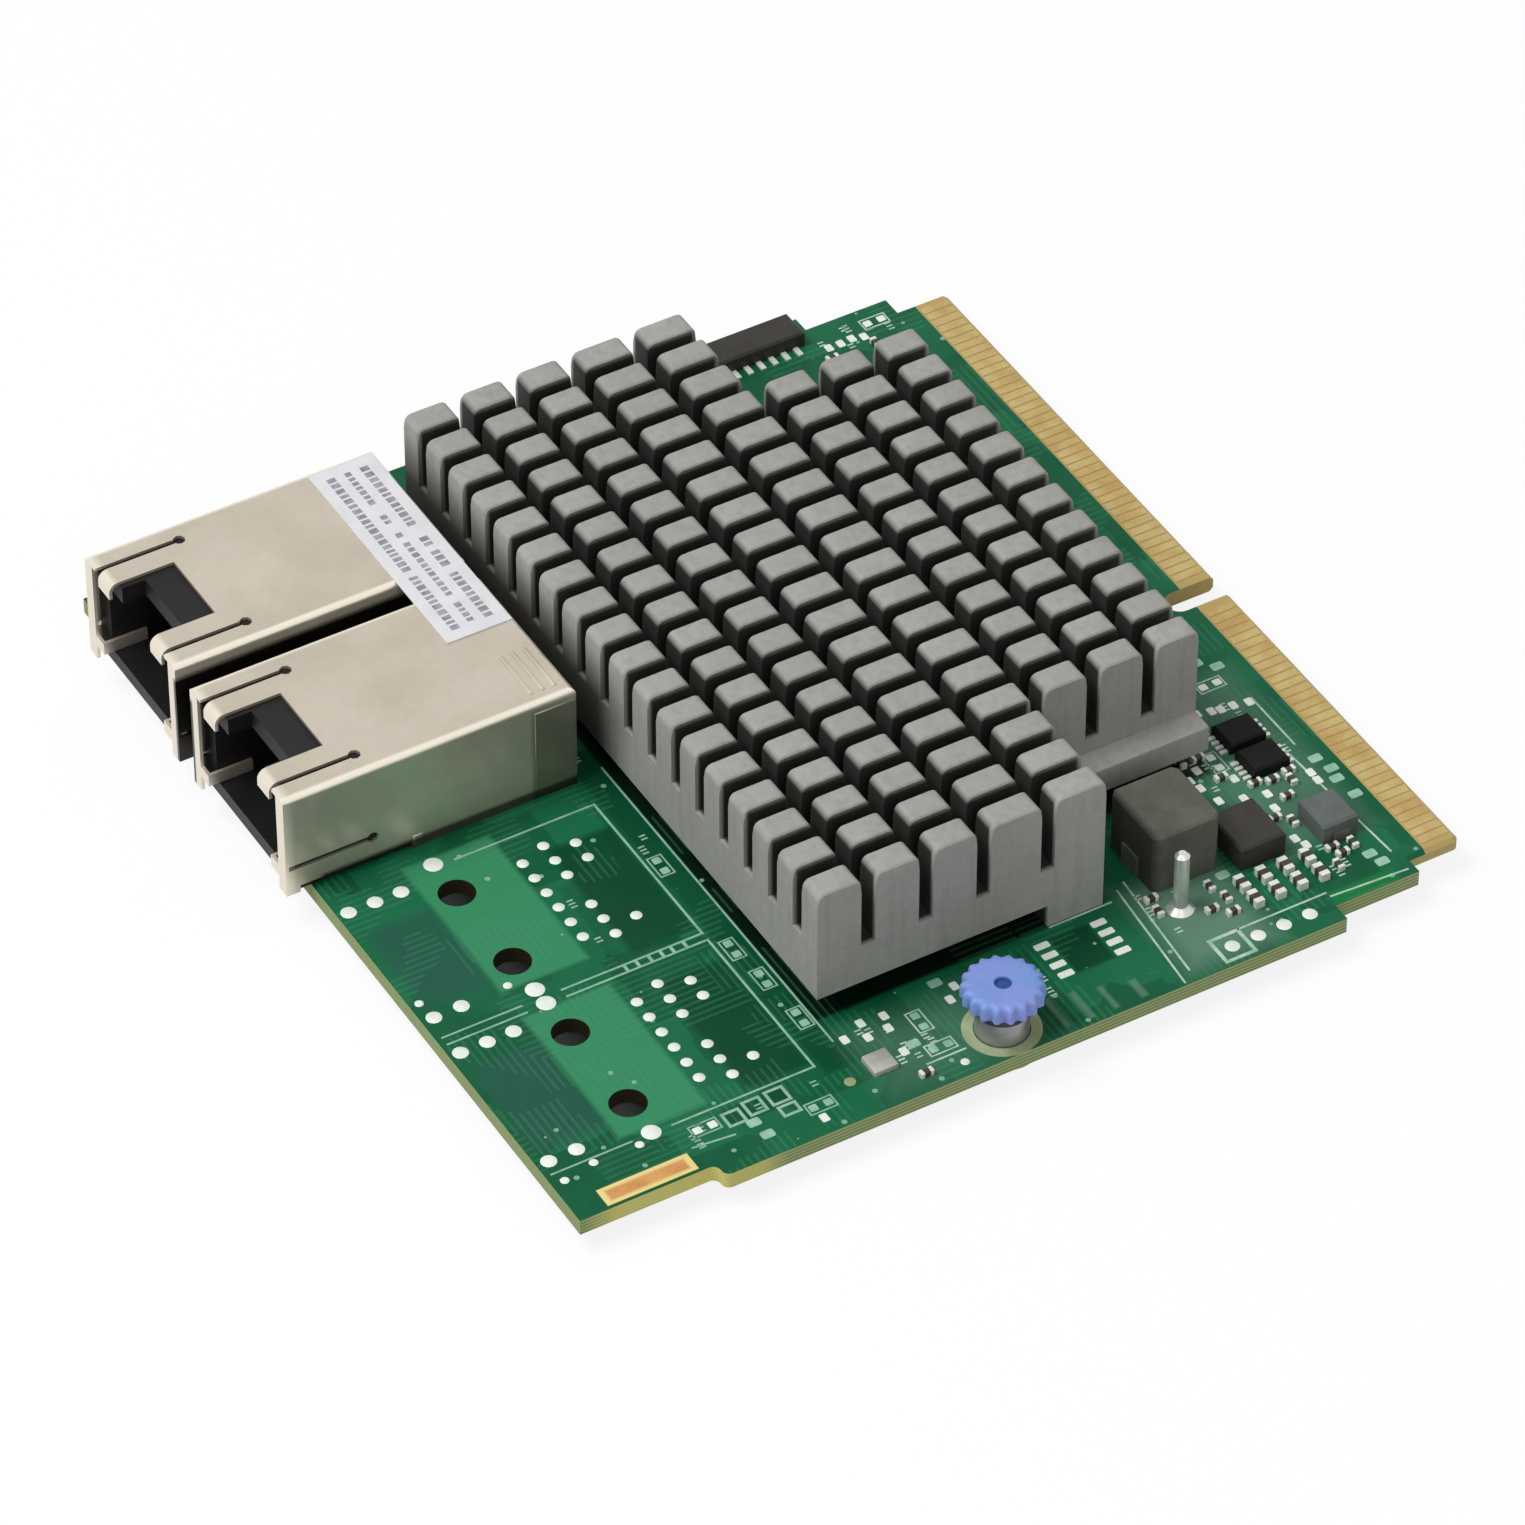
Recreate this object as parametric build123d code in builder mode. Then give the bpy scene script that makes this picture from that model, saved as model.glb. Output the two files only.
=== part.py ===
from build123d import *
import os

# Mezzanine network card: X runs along the port edge, +Y points to the gold edge, +Z is up.
# The origin is below the middle of the card, on the plane that the screw heads rest on.

# Jacks along the front edge
JACKS_FITTED = 2
JACK_GAP = 2.7
PAIR_GAP = 3.2
JACK_WIDTH = 16.5
JACK_DEPTH = 27.7
JACK_HEIGHT = 10.65
JACK_OVERHANG = 2.45
SHIELD_WALL = 0.3
SHIELD_GAP = 0.05
SHIELD_BEND = 0.5
SHIELD_HEM = 1.3
LATCH_CUT_WIDTH = 7.5
LATCH_CUT_DEPTH = 6.2
FINGER_WIDTH = 2.05
FINGER_LENGTH = 7.9
FINGER_FOLD = 0.9
FINGER_DROP = 0.7
SLIT_WIDTH = 0.5
SLIT_HOLE_RADIUS = 0.55
SLIT_HOLE_SIDES = 8
SIDE_SLIT_HEIGHT = 2.9
SIDE_FINGER_LENGTH = 4.2
SIDE_NOTCH_HEIGHT = 0.7
SIDE_NOTCH_LENGTH = 10.5
HOUSING_INSET = 1.0
PLUG_WIDTH = 11.8
PLUG_HEIGHT = 7.2
PLUG_DEPTH = 14.0
PLUG_FLOOR = 1.4
LATCH_SLOT_WIDTH = 6.6
LATCH_SLOT_DEPTH = 2.2
WIRE_COUNT = 8
WIRE_PITCH = 1.02
WIRE_WIDTH = 0.4
WIRE_THICKNESS = 0.35
WIRE_RISE = 1.9
WIRE_START = 3.2
PEG_SPACING = 9.5
PEG_RADIUS = 1.55
PEG_CLEARANCE = 0.07
PEG_TIP = 0.7
PEG_FROM_FRONT = 9.95
TAIL_PITCH = 2.04
TAIL_ROW_PITCH = 2.54
TAIL_FROM_FRONT = 16.4
TAIL_RADIUS = 0.55
TAIL_SIDES = 6
TAIL_LENGTH = 1.2

# Label across the jack tops
LABEL_WIDTH = 24.75
LABEL_DEPTH = 6.2
LABEL_THICKNESS = 0.12
LABEL_FROM_LEFT = 0.65
LABEL_FROM_BACK = 0.35

# Heat sink, controller and its screws
SINK_DEPTH = 44.0
SINK_HEIGHT = 11.5
FIN_ROWS = 18
FIN_THICKNESS = 2.5
SHORT_FIN = 4.15
LONG_FIN = 4.86
WIDE_COLUMNS = 5
COLUMN_FINS = [SHORT_FIN] * 3 + [LONG_FIN] * 2 + [SHORT_FIN] * 3
NARROW_FIRST_ROW = 3
NARROW_LAST_ROW = 14
ROW_SLOT_DEPTH = 6.3
COLUMN_SLOT_DEPTH = 7.4
FLANGE_WIDTH = 2.4
FLANGE_HEIGHT = 2.55
FOOT_WIDTH = 6.0
FOOT_DEPTH = 5.4
BOSS_RADIUS = 2.75
BOSS_FROM_FRONT = 4.5
BOSS_FROM_SIDE = 7.0
SCREW_RADIUS = 1.25
SCREW_HEAD_RADIUS = 2.5
SCREW_HEAD_HEIGHT = 2.1
SCREW_GRIP = 3.0
SCREW_FIT = 0.05
SCREW_SIDES = 12
SCREW_HEAD_SIDES = 24
SCREW_HOLE_CLEARANCE = 0.15
SUBSTRATE_SIZE = 25.0
SUBSTRATE_THICKNESS = 1.2
LID_SIZE = 22.0
LID_THICKNESS = 0.75
PAD_SIZE = 20.0
PAD_THICKNESS = 0.4

# Circuit board
BOARD_THICKNESS = 1.57
SIDE_MARGIN = 7.7
SINK_FROM_LEFT = 8.5
SINK_FROM_RIGHT = 11.7
JACK_TO_SINK = 2.75
SINK_TO_REAR = 13.6
FRONT_RECESS = 1.5
FRONT_RECESS_LENGTH = 12.6
RECESS_FILLET = 0.7
SHOULDER_STEP = 1.75
SHOULDER_LENGTH = 13.5
TONGUE_STEP = 1.75
TONGUE_LENGTH = 5.2
CORNER_FILLET = 0.6
EDGE_BEVEL = 0.35
KEY_CENTRE = 4.5
KEY_WIDTH = 2.6
KEY_DEPTH = 5.6
CONTACT_PITCH = 1.0
CONTACT_WIDTH = 0.8
CONTACT_LENGTH = 2.8
CONTACT_THICKNESS = 0.05
CONTACT_SETBACK = 0.45
CONTACT_SIDE_MARGIN = 0.6
STRIP_WIDTH = 2.0
STRIP_LENGTH = 8.4
STRIP_FROM_FRONT = 2.75
STRIP_FROM_EDGE = 0.3

# Power parts, placed from the right edge and the gold edge to their centres
INDUCTOR_WIDTH = 7.2
INDUCTOR_DEPTH = 6.5
INDUCTOR_HEIGHT = 6.1
INDUCTOR_CHAMFER = 0.5
INDUCTOR_FROM_RIGHT = 14.1
INDUCTOR_FROM_REAR = 22.6
TERMINAL_WIDTH = 2.4
TERMINAL_HEIGHT = 2.2
TERMINAL_THICKNESS = 0.2
POST_RADIUS = 0.65
POST_HEIGHT = 6.3
POST_COLLAR_RADIUS = 1.2
POST_COLLAR_HEIGHT = 0.5
POST_FROM_RIGHT = 8.0
POST_FROM_REAR = 24.8
REGULATOR_WIDTH = 5.2
REGULATOR_DEPTH = 4.4
REGULATOR_HEIGHT = 2.4
REGULATOR_FROM_RIGHT = 11.8
REGULATOR_FROM_REAR = 15.9
MOSFET_COUNT = 2
MOSFET_WIDTH = 3.0
MOSFET_DEPTH = 3.6
MOSFET_HEIGHT = 1.1
MOSFET_PITCH = 3.7
MOSFET_FROM_RIGHT = 21.4
MOSFET_FROM_REAR = 9.3
LEAD_COUNT = 4
LEAD_PITCH = 0.65
LEAD_WIDTH = 0.35
LEAD_LENGTH = 0.7
LEAD_THICKNESS = 0.2
TANTALUM_WIDTH = 4.0
TANTALUM_DEPTH = 3.4
TANTALUM_HEIGHT = 2.0
TANTALUM_END = 0.3
TANTALUM_FROM_RIGHT = 10.4
TANTALUM_FROM_REAR = 8.7
BODY_CHAMFER = 0.2

# Ceramic chips
CHIP_LENGTH = 1.6
CHIP_WIDTH = 0.85
CHIP_HEIGHT = 0.8
CHIP_END = 0.5
CHIP_ROWS = 2
CHIP_ROW_PITCH = 2.1
CHIP_COLUMNS = 4
CHIP_COLUMN_PITCH = 2.15
CHIP_FROM_RIGHT = 6.5
CHIP_FROM_REAR = 15.8
UNDER_CHIP_ROWS = 3
UNDER_CHIP_COLUMNS = 2
UNDER_CHIP_ROW_PITCH = 4.0
UNDER_CHIP_COLUMN_PITCH = 3.0

# Low connector at the left edge
SIDEBAND_WIDTH = 3.2
SIDEBAND_LENGTH = 9.6
SIDEBAND_HEIGHT = 1.6
SIDEBAND_SLOT_HEIGHT = 0.5
SIDEBAND_SLOT_DEPTH = 1.8
SIDEBAND_SLOT_MARGIN = 0.7
SIDEBAND_FROM_LEFT = 0.4
SIDEBAND_FROM_REAR = 19.5
SIDEBAND_CONTACTS = 7
SIDEBAND_PITCH = 1.27
SIDEBAND_TAIL_WIDTH = 0.5
SIDEBAND_TAIL_LENGTH = 1.1
SIDEBAND_TAIL_THICKNESS = 0.2

# Captive thumbscrew at the right edge
THUMB_FROM_RIGHT = 3.3
THUMB_FROM_FRONT = 40.6
THUMB_TRAVEL = 2.0
FERRULE_RADIUS = 2.3
FERRULE_HEIGHT = 2.3
FERRULE_BORE_RADIUS = 1.7
FERRULE_SPIGOT_RADIUS = 1.8
FERRULE_SPIGOT_CLEARANCE = 0.05
FERRULE_LOWER_RADIUS = 1.4
SHELF_THICKNESS = 0.5
NECK_RADIUS = 1.0
NECK_CLEARANCE = 0.08
THREAD_RADIUS = 1.25
THREAD_PLAY = 0.1
FLANGE_RADIUS = 1.55
FLANGE_THICKNESS = 0.5
KNOB_RADIUS = 3.35
KNOB_LOBES = 18
KNOB_LOBE_RADIUS = 0.36
KNOB_STOP_GAP = 0.3
KNOB_SKIRT = 0.95
KNOB_CROWN = 0.75
KNOB_BORE_CLEARANCE = 0.4
KNOB_CHAMFER = 0.3
KNOB_RECESS_RADIUS = 0.9
KNOB_RECESS_DEPTH = 0.45
SPRING_WIRE_RADIUS = 0.13
SPRING_RADIUS = 1.4
SPRING_TURNS = 2.25

# Levels and outlines that follow from the sizes above
sink_standoff = SUBSTRATE_THICKNESS + LID_THICKNESS + PAD_THICKNESS
board_bottom = SCREW_HEAD_HEIGHT
board_top = board_bottom + BOARD_THICKNESS
sink_bottom = board_top + sink_standoff
sink_top = sink_bottom + SINK_HEIGHT
jack_top = board_top + JACK_HEIGHT

# The row of four jack places and a margin at each end set the width of the card
jack_pitch = JACK_WIDTH + JACK_GAP
pair_pitch = jack_pitch + JACK_WIDTH + PAIR_GAP
board_width = pair_pitch + jack_pitch + JACK_WIDTH + 2 * SIDE_MARGIN
board_depth = JACK_DEPTH - JACK_OVERHANG + JACK_TO_SINK + SINK_DEPTH + SINK_TO_REAR
right = board_width / 2
left = -right
front = (JACK_OVERHANG - board_depth) / 2
rear = front + board_depth
jack_front = front - JACK_OVERHANG
jack_back = jack_front + JACK_DEPTH
jack_centres = [
    (pair * pair_pitch + place * jack_pitch) / 2 for pair in (-1, 1) for place in (-1, 1)
]

sink_left = left + SINK_FROM_LEFT
sink_right = right - SINK_FROM_RIGHT
sink_width = sink_right - sink_left
sink_front = jack_back + JACK_TO_SINK
sink_rear = sink_front + SINK_DEPTH
row_pitch = (sink_width - FIN_THICKNESS) / (FIN_ROWS - 1)
row_slot = row_pitch - FIN_THICKNESS
column_slot = (SINK_DEPTH - sum(COLUMN_FINS)) / (len(COLUMN_FINS) - 1)
column_ends = [
    sink_front + sum(COLUMN_FINS[: i + 1]) + i * column_slot for i in range(len(COLUMN_FINS))
]
wide_rear = column_ends[WIDE_COLUMNS - 1]
narrow_left = sink_left + NARROW_FIRST_ROW * row_pitch
narrow_right = sink_left + NARROW_LAST_ROW * row_pitch + FIN_THICKNESS
foot_y = wide_rear - FOOT_DEPTH / 2
boss_y = sink_front + BOSS_FROM_FRONT
foot_points = [(sink_left + FOOT_WIDTH / 2, foot_y), (sink_right - FOOT_WIDTH / 2, foot_y)]
boss_points = [(sink_left + BOSS_FROM_SIDE, boss_y), (sink_right - BOSS_FROM_SIDE, boss_y)]
screw_points = foot_points + boss_points
controller_x = (sink_left + sink_right) / 2
controller_y = (sink_front + wide_rear) / 2

thumb_x = right - THUMB_FROM_RIGHT
thumb_y = front + THUMB_FROM_FRONT
ferrule_top = board_top + FERRULE_HEIGHT
knob_ceiling = ferrule_top + THUMB_TRAVEL + KNOB_STOP_GAP
knob_bottom = knob_ceiling - KNOB_SKIRT
knob_top = knob_ceiling + KNOB_CROWN
screw_flange = knob_ceiling - FLANGE_THICKNESS

ON_FLOOR = (Align.CENTER, Align.CENTER, Align.MIN)
UNDER = (Align.CENTER, Align.CENTER, Align.MAX)
FROM_FRONT = (Align.CENTER, Align.MIN, Align.MIN)

os.makedirs("parts", exist_ok=True)


# Circuit board with recessed front corners, two steps to the tongue and a key notch
with BuildPart() as circuit_board:
    with BuildSketch(Plane.XY.offset(board_bottom)):
        with Locations((0, front)):
            Rectangle(
                board_width, board_depth - SHOULDER_LENGTH, align=(Align.CENTER, Align.MIN)
            )
            Rectangle(
                board_width - 2 * SHOULDER_STEP,
                board_depth - TONGUE_LENGTH,
                align=(Align.CENTER, Align.MIN),
            )
            Rectangle(
                board_width - 2 * SHOULDER_STEP - 2 * TONGUE_STEP,
                board_depth,
                align=(Align.CENTER, Align.MIN),
            )
        for side in (left, right):
            with Locations((side, front)):
                Rectangle(
                    2 * FRONT_RECESS,
                    FRONT_RECESS_LENGTH,
                    align=(Align.CENTER, Align.MIN),
                    mode=Mode.SUBTRACT,
                )
    extrude(amount=BOARD_THICKNESS)
    jog_edges = circuit_board.edges().filter_by(Axis.Z).filter_by_position(
        Axis.Y, front + FRONT_RECESS_LENGTH / 2, front + 1.5 * FRONT_RECESS_LENGTH
    )
    fillet(jog_edges, RECESS_FILLET)
    tongue_corners = circuit_board.edges().filter_by(Axis.Z).group_by(Axis.Y)[-1]
    fillet(tongue_corners, CORNER_FILLET)
    with BuildSketch(Plane.XY.offset(board_bottom)):
        with Locations((KEY_CENTRE, rear - KEY_DEPTH + KEY_WIDTH / 2)):
            Circle(KEY_WIDTH / 2)
            Rectangle(KEY_WIDTH, KEY_DEPTH, align=(Align.CENTER, Align.MIN))
    extrude(amount=BOARD_THICKNESS, mode=Mode.SUBTRACT)
    bevel_edges = circuit_board.edges().filter_by(Axis.X).group_by(Axis.Y)[-1]
    chamfer(bevel_edges, EDGE_BEVEL)
    with Locations(*[(x, front + PEG_FROM_FRONT, board_top) for x in jack_centres]):
        with GridLocations(PEG_SPACING, 0, 2, 1):
            Hole(PEG_RADIUS + PEG_CLEARANCE, BOARD_THICKNESS)
    with Locations((thumb_x, thumb_y, board_top)):
        Hole(FERRULE_SPIGOT_RADIUS + FERRULE_SPIGOT_CLEARANCE, BOARD_THICKNESS)
    with BuildSketch(Plane.XY.offset(board_bottom)):
        with Locations(*screw_points):
            RegularPolygon(SCREW_RADIUS + SCREW_HOLE_CLEARANCE, SCREW_SIDES)
    extrude(amount=BOARD_THICKNESS, mode=Mode.SUBTRACT)
circuit_board.part.label = "circuit_board"
export_step(circuit_board.part, "parts/circuit_board.step")


# Gold fingers in two runs, one each side of the key notch
tongue_half = right - SHOULDER_STEP - TONGUE_STEP
finger_runs = [
    (-tongue_half + CONTACT_SIDE_MARGIN, KEY_CENTRE - KEY_WIDTH / 2 - CONTACT_SIDE_MARGIN),
    (KEY_CENTRE + KEY_WIDTH / 2 + CONTACT_SIDE_MARGIN, tongue_half - CONTACT_SIDE_MARGIN),
]
finger_points = []
for start, end in finger_runs:
    finger_count = int((end - start - CONTACT_WIDTH) / CONTACT_PITCH) + 1
    run_length = (finger_count - 1) * CONTACT_PITCH
    first = (start + end - run_length) / 2
    finger_points += [first + i * CONTACT_PITCH for i in range(finger_count)]
contact_y = rear - CONTACT_SETBACK - CONTACT_LENGTH / 2

with BuildPart() as edge_contacts_top:
    with Locations(*[(x, contact_y, board_top) for x in finger_points]):
        Box(CONTACT_WIDTH, CONTACT_LENGTH, CONTACT_THICKNESS, align=ON_FLOOR)
edge_contacts_top.part.label = "edge_contacts_top"
export_step(edge_contacts_top.part, "parts/edge_contacts_top.step")

with BuildPart() as edge_contacts_bottom:
    with Locations(*[(x, contact_y, board_bottom) for x in finger_points]):
        Box(CONTACT_WIDTH, CONTACT_LENGTH, CONTACT_THICKNESS, align=UNDER)
edge_contacts_bottom.part.label = "edge_contacts_bottom"
export_step(edge_contacts_bottom.part, "parts/edge_contacts_bottom.step")


# Earth strips on the recessed front corners
strip_x = right - FRONT_RECESS - STRIP_FROM_EDGE - STRIP_WIDTH / 2
strip_y = front + STRIP_FROM_FRONT + STRIP_LENGTH / 2
with BuildPart() as ground_strips:
    with Locations((-strip_x, strip_y, board_top), (strip_x, strip_y, board_top)):
        Box(STRIP_WIDTH, STRIP_LENGTH, CONTACT_THICKNESS, align=ON_FLOOR)
ground_strips.part.label = "ground_strips"
export_step(ground_strips.part, "parts/ground_strips.step")


# Each jack is a folded shield round a moulded housing with eight spring wires
housing_width = JACK_WIDTH - 2 * SHIELD_WALL - 2 * SHIELD_GAP
housing_height = JACK_HEIGHT - SHIELD_WALL - SHIELD_GAP
housing_front = jack_front + HOUSING_INSET
housing_depth = JACK_DEPTH - HOUSING_INSET - SHIELD_WALL - SHIELD_GAP
plug_ceiling = PLUG_FLOOR + PLUG_HEIGHT
plug_back = housing_front + PLUG_DEPTH
side_finger_turn = (JACK_WIDTH - PLUG_WIDTH) / 2 + SHIELD_GAP + SHIELD_WALL
side_finger_top = board_top + SIDE_SLIT_HEIGHT - SLIT_WIDTH / 2
side_finger_height = side_finger_top - board_top - PLUG_FLOOR - SHIELD_GAP
finger_x = (LATCH_CUT_WIDTH + FINGER_WIDTH) / 2
slit_x = LATCH_CUT_WIDTH / 2 + FINGER_WIDTH + SLIT_WIDTH / 2
tail_rows = [(-5, -3, -1, 1, 3, 5), (-6, -4, -2, 2, 4, 6), (-5, -3, 5)]
tail_points = [
    (half * TAIL_PITCH / 2, front + TAIL_FROM_FRONT + row * TAIL_ROW_PITCH)
    for row, halves in enumerate(tail_rows)
    for half in halves
]
tab_x = (JACK_WIDTH - SHIELD_WALL) / 2
tail_points += [(-tab_x, front + PEG_FROM_FRONT), (tab_x, front + PEG_FROM_FRONT)]

for number in range(1, JACKS_FITTED + 1):
    jack_x = jack_centres[number - 1]

    with BuildPart() as shield:
        with Locations((jack_x, jack_front, board_top)):
            Box(JACK_WIDTH, JACK_DEPTH, JACK_HEIGHT, align=FROM_FRONT)
        top_edges = shield.faces().sort_by(Axis.Z)[-1].edges().sort_by(Axis.Y)[1:]
        fillet(top_edges, SHIELD_BEND)
        with Locations((jack_x, jack_front, board_top)):
            Box(
                JACK_WIDTH - 2 * SHIELD_WALL,
                JACK_DEPTH - SHIELD_WALL,
                JACK_HEIGHT - SHIELD_WALL,
                align=FROM_FRONT,
                mode=Mode.SUBTRACT,
            )
        # Hems turned in at the two front posts
        with Locations((jack_x, jack_front, board_top)):
            with GridLocations(JACK_WIDTH - SHIELD_HEM, 0, 2, 1):
                Box(SHIELD_HEM, SHIELD_WALL, JACK_HEIGHT - SHIELD_WALL, align=FROM_FRONT)
        # Latch cut-out, the slits beside it and the round ends that stop them tearing
        with Locations((jack_x, jack_front, jack_top)):
            Box(
                LATCH_CUT_WIDTH,
                2 * LATCH_CUT_DEPTH,
                2 * SHIELD_WALL,
                mode=Mode.SUBTRACT,
            )
            with GridLocations(2 * slit_x, 0, 2, 1):
                Box(SLIT_WIDTH, 2 * FINGER_LENGTH, 2 * SHIELD_WALL, mode=Mode.SUBTRACT)
            with GridLocations(2 * finger_x, 0, 2, 1):
                Box(FINGER_WIDTH, 2 * FINGER_FOLD, 2 * SHIELD_WALL, mode=Mode.SUBTRACT)
        with BuildSketch(Plane.XY.offset(jack_top)):
            with Locations((jack_x, jack_front + FINGER_LENGTH)):
                with GridLocations(2 * slit_x, 0, 2, 1):
                    RegularPolygon(SLIT_HOLE_RADIUS, SLIT_HOLE_SIDES)
        extrude(amount=-2 * SHIELD_WALL, mode=Mode.SUBTRACT)
        # The two top fingers roll down over the front
        for finger_side in (-finger_x, finger_x):
            with BuildSketch(Plane.YZ.offset(jack_x + finger_side)):
                with Locations((jack_front + FINGER_FOLD, jack_top - FINGER_FOLD)):
                    Circle(FINGER_FOLD)
                    Circle(FINGER_FOLD - SHIELD_WALL, mode=Mode.SUBTRACT)
                    Rectangle(
                        FINGER_FOLD,
                        FINGER_FOLD,
                        align=(Align.MAX, Align.MIN),
                        mode=Mode.INTERSECT,
                    )
                with Locations((jack_front, jack_top - FINGER_FOLD)):
                    Rectangle(SHIELD_WALL, FINGER_DROP, align=(Align.MIN, Align.MAX))
            extrude(amount=FINGER_WIDTH / 2, both=True)
        # One slit low on each side, and a finger under it that turns back along the plug's way in
        with Locations((jack_x, jack_front + SHIELD_WALL, board_top + SIDE_SLIT_HEIGHT)):
            Box(
                2 * JACK_WIDTH,
                FINGER_LENGTH,
                SLIT_WIDTH,
                align=(Align.CENTER, Align.MIN, Align.CENTER),
                mode=Mode.SUBTRACT,
            )
        side_slit_end = jack_front + SHIELD_WALL + FINGER_LENGTH
        with BuildSketch(Plane.YZ.offset(jack_x - JACK_WIDTH)):
            with Locations((side_slit_end, board_top + SIDE_SLIT_HEIGHT)):
                RegularPolygon(SLIT_HOLE_RADIUS, SLIT_HOLE_SIDES)
        extrude(amount=2 * JACK_WIDTH, mode=Mode.SUBTRACT)
        with Locations((jack_x, jack_front, side_finger_top)):
            with GridLocations(JACK_WIDTH - side_finger_turn, 0, 2, 1):
                Box(
                    side_finger_turn,
                    SHIELD_WALL,
                    side_finger_height,
                    align=(Align.CENTER, Align.MIN, Align.MAX),
                )
            with GridLocations(PLUG_WIDTH - SHIELD_WALL - 2 * SHIELD_GAP, 0, 2, 1):
                Box(
                    SHIELD_WALL,
                    SIDE_FINGER_LENGTH,
                    side_finger_height,
                    align=(Align.CENTER, Align.MIN, Align.MAX),
                )
        # The lower edge is raised in front of the earth tab
        with Locations((jack_x, jack_front + SHIELD_HEM, board_top)):
            Box(
                2 * JACK_WIDTH,
                SIDE_NOTCH_LENGTH,
                SIDE_NOTCH_HEIGHT,
                align=FROM_FRONT,
                mode=Mode.SUBTRACT,
            )
    shield.part.label = f"jack_{number}_shield"
    export_step(shield.part, f"parts/jack_{number}_shield.step")

    with BuildPart() as housing:
        with Locations((jack_x, housing_front, board_top)):
            Box(housing_width, housing_depth, housing_height, align=FROM_FRONT)
        with Locations((jack_x, housing_front, board_top + PLUG_FLOOR)):
            Box(PLUG_WIDTH, PLUG_DEPTH, PLUG_HEIGHT, align=FROM_FRONT, mode=Mode.SUBTRACT)
        with Locations((jack_x, housing_front, board_top + plug_ceiling)):
            Box(
                LATCH_SLOT_WIDTH,
                LATCH_SLOT_DEPTH,
                housing_height - plug_ceiling,
                align=FROM_FRONT,
                mode=Mode.SUBTRACT,
            )
        with Locations((jack_x, front + PEG_FROM_FRONT, board_top)):
            with GridLocations(PEG_SPACING, 0, 2, 1):
                Cylinder(PEG_RADIUS, BOARD_THICKNESS + PEG_TIP, align=UNDER)
    housing.part.label = f"jack_{number}_housing"
    export_step(housing.part, f"parts/jack_{number}_housing.step")

    # Wires lean up from the cavity floor to its back wall
    wire_floor = board_top + PLUG_FLOOR
    with BuildPart() as contacts:
        for wire in range(WIRE_COUNT):
            wire_x = jack_x + (wire - (WIRE_COUNT - 1) / 2) * WIRE_PITCH
            with BuildSketch(Plane.YZ.offset(wire_x)):
                with BuildLine():
                    Polyline(
                        (housing_front + WIRE_START, wire_floor),
                        (plug_back, wire_floor + WIRE_RISE),
                        (plug_back, wire_floor + WIRE_RISE + WIRE_THICKNESS),
                        (housing_front + WIRE_START, wire_floor + WIRE_THICKNESS),
                        close=True,
                    )
                make_face()
            extrude(amount=WIRE_WIDTH / 2, both=True)
    contacts.part.label = f"jack_{number}_contacts"
    export_step(contacts.part, f"parts/jack_{number}_contacts.step")

    with BuildPart() as solder_tails:
        with BuildSketch(Plane.XY.offset(board_bottom)):
            with Locations(*[(jack_x + x, y) for x, y in tail_points]):
                RegularPolygon(TAIL_RADIUS, TAIL_SIDES)
        extrude(amount=-TAIL_LENGTH)
    solder_tails.part.label = f"jack_{number}_solder_tails"
    export_step(solder_tails.part, f"parts/jack_{number}_solder_tails.step")


# Paper label bridging the first two jacks
label_left = jack_centres[0] - JACK_WIDTH / 2 + LABEL_FROM_LEFT
with BuildPart() as jack_label:
    with Locations((label_left, jack_back - LABEL_FROM_BACK, jack_top)):
        Box(
            LABEL_WIDTH,
            LABEL_DEPTH,
            LABEL_THICKNESS,
            align=(Align.MIN, Align.MAX, Align.MIN),
        )
jack_label.part.label = "jack_label"
export_step(jack_label.part, "parts/jack_label.step")


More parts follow.
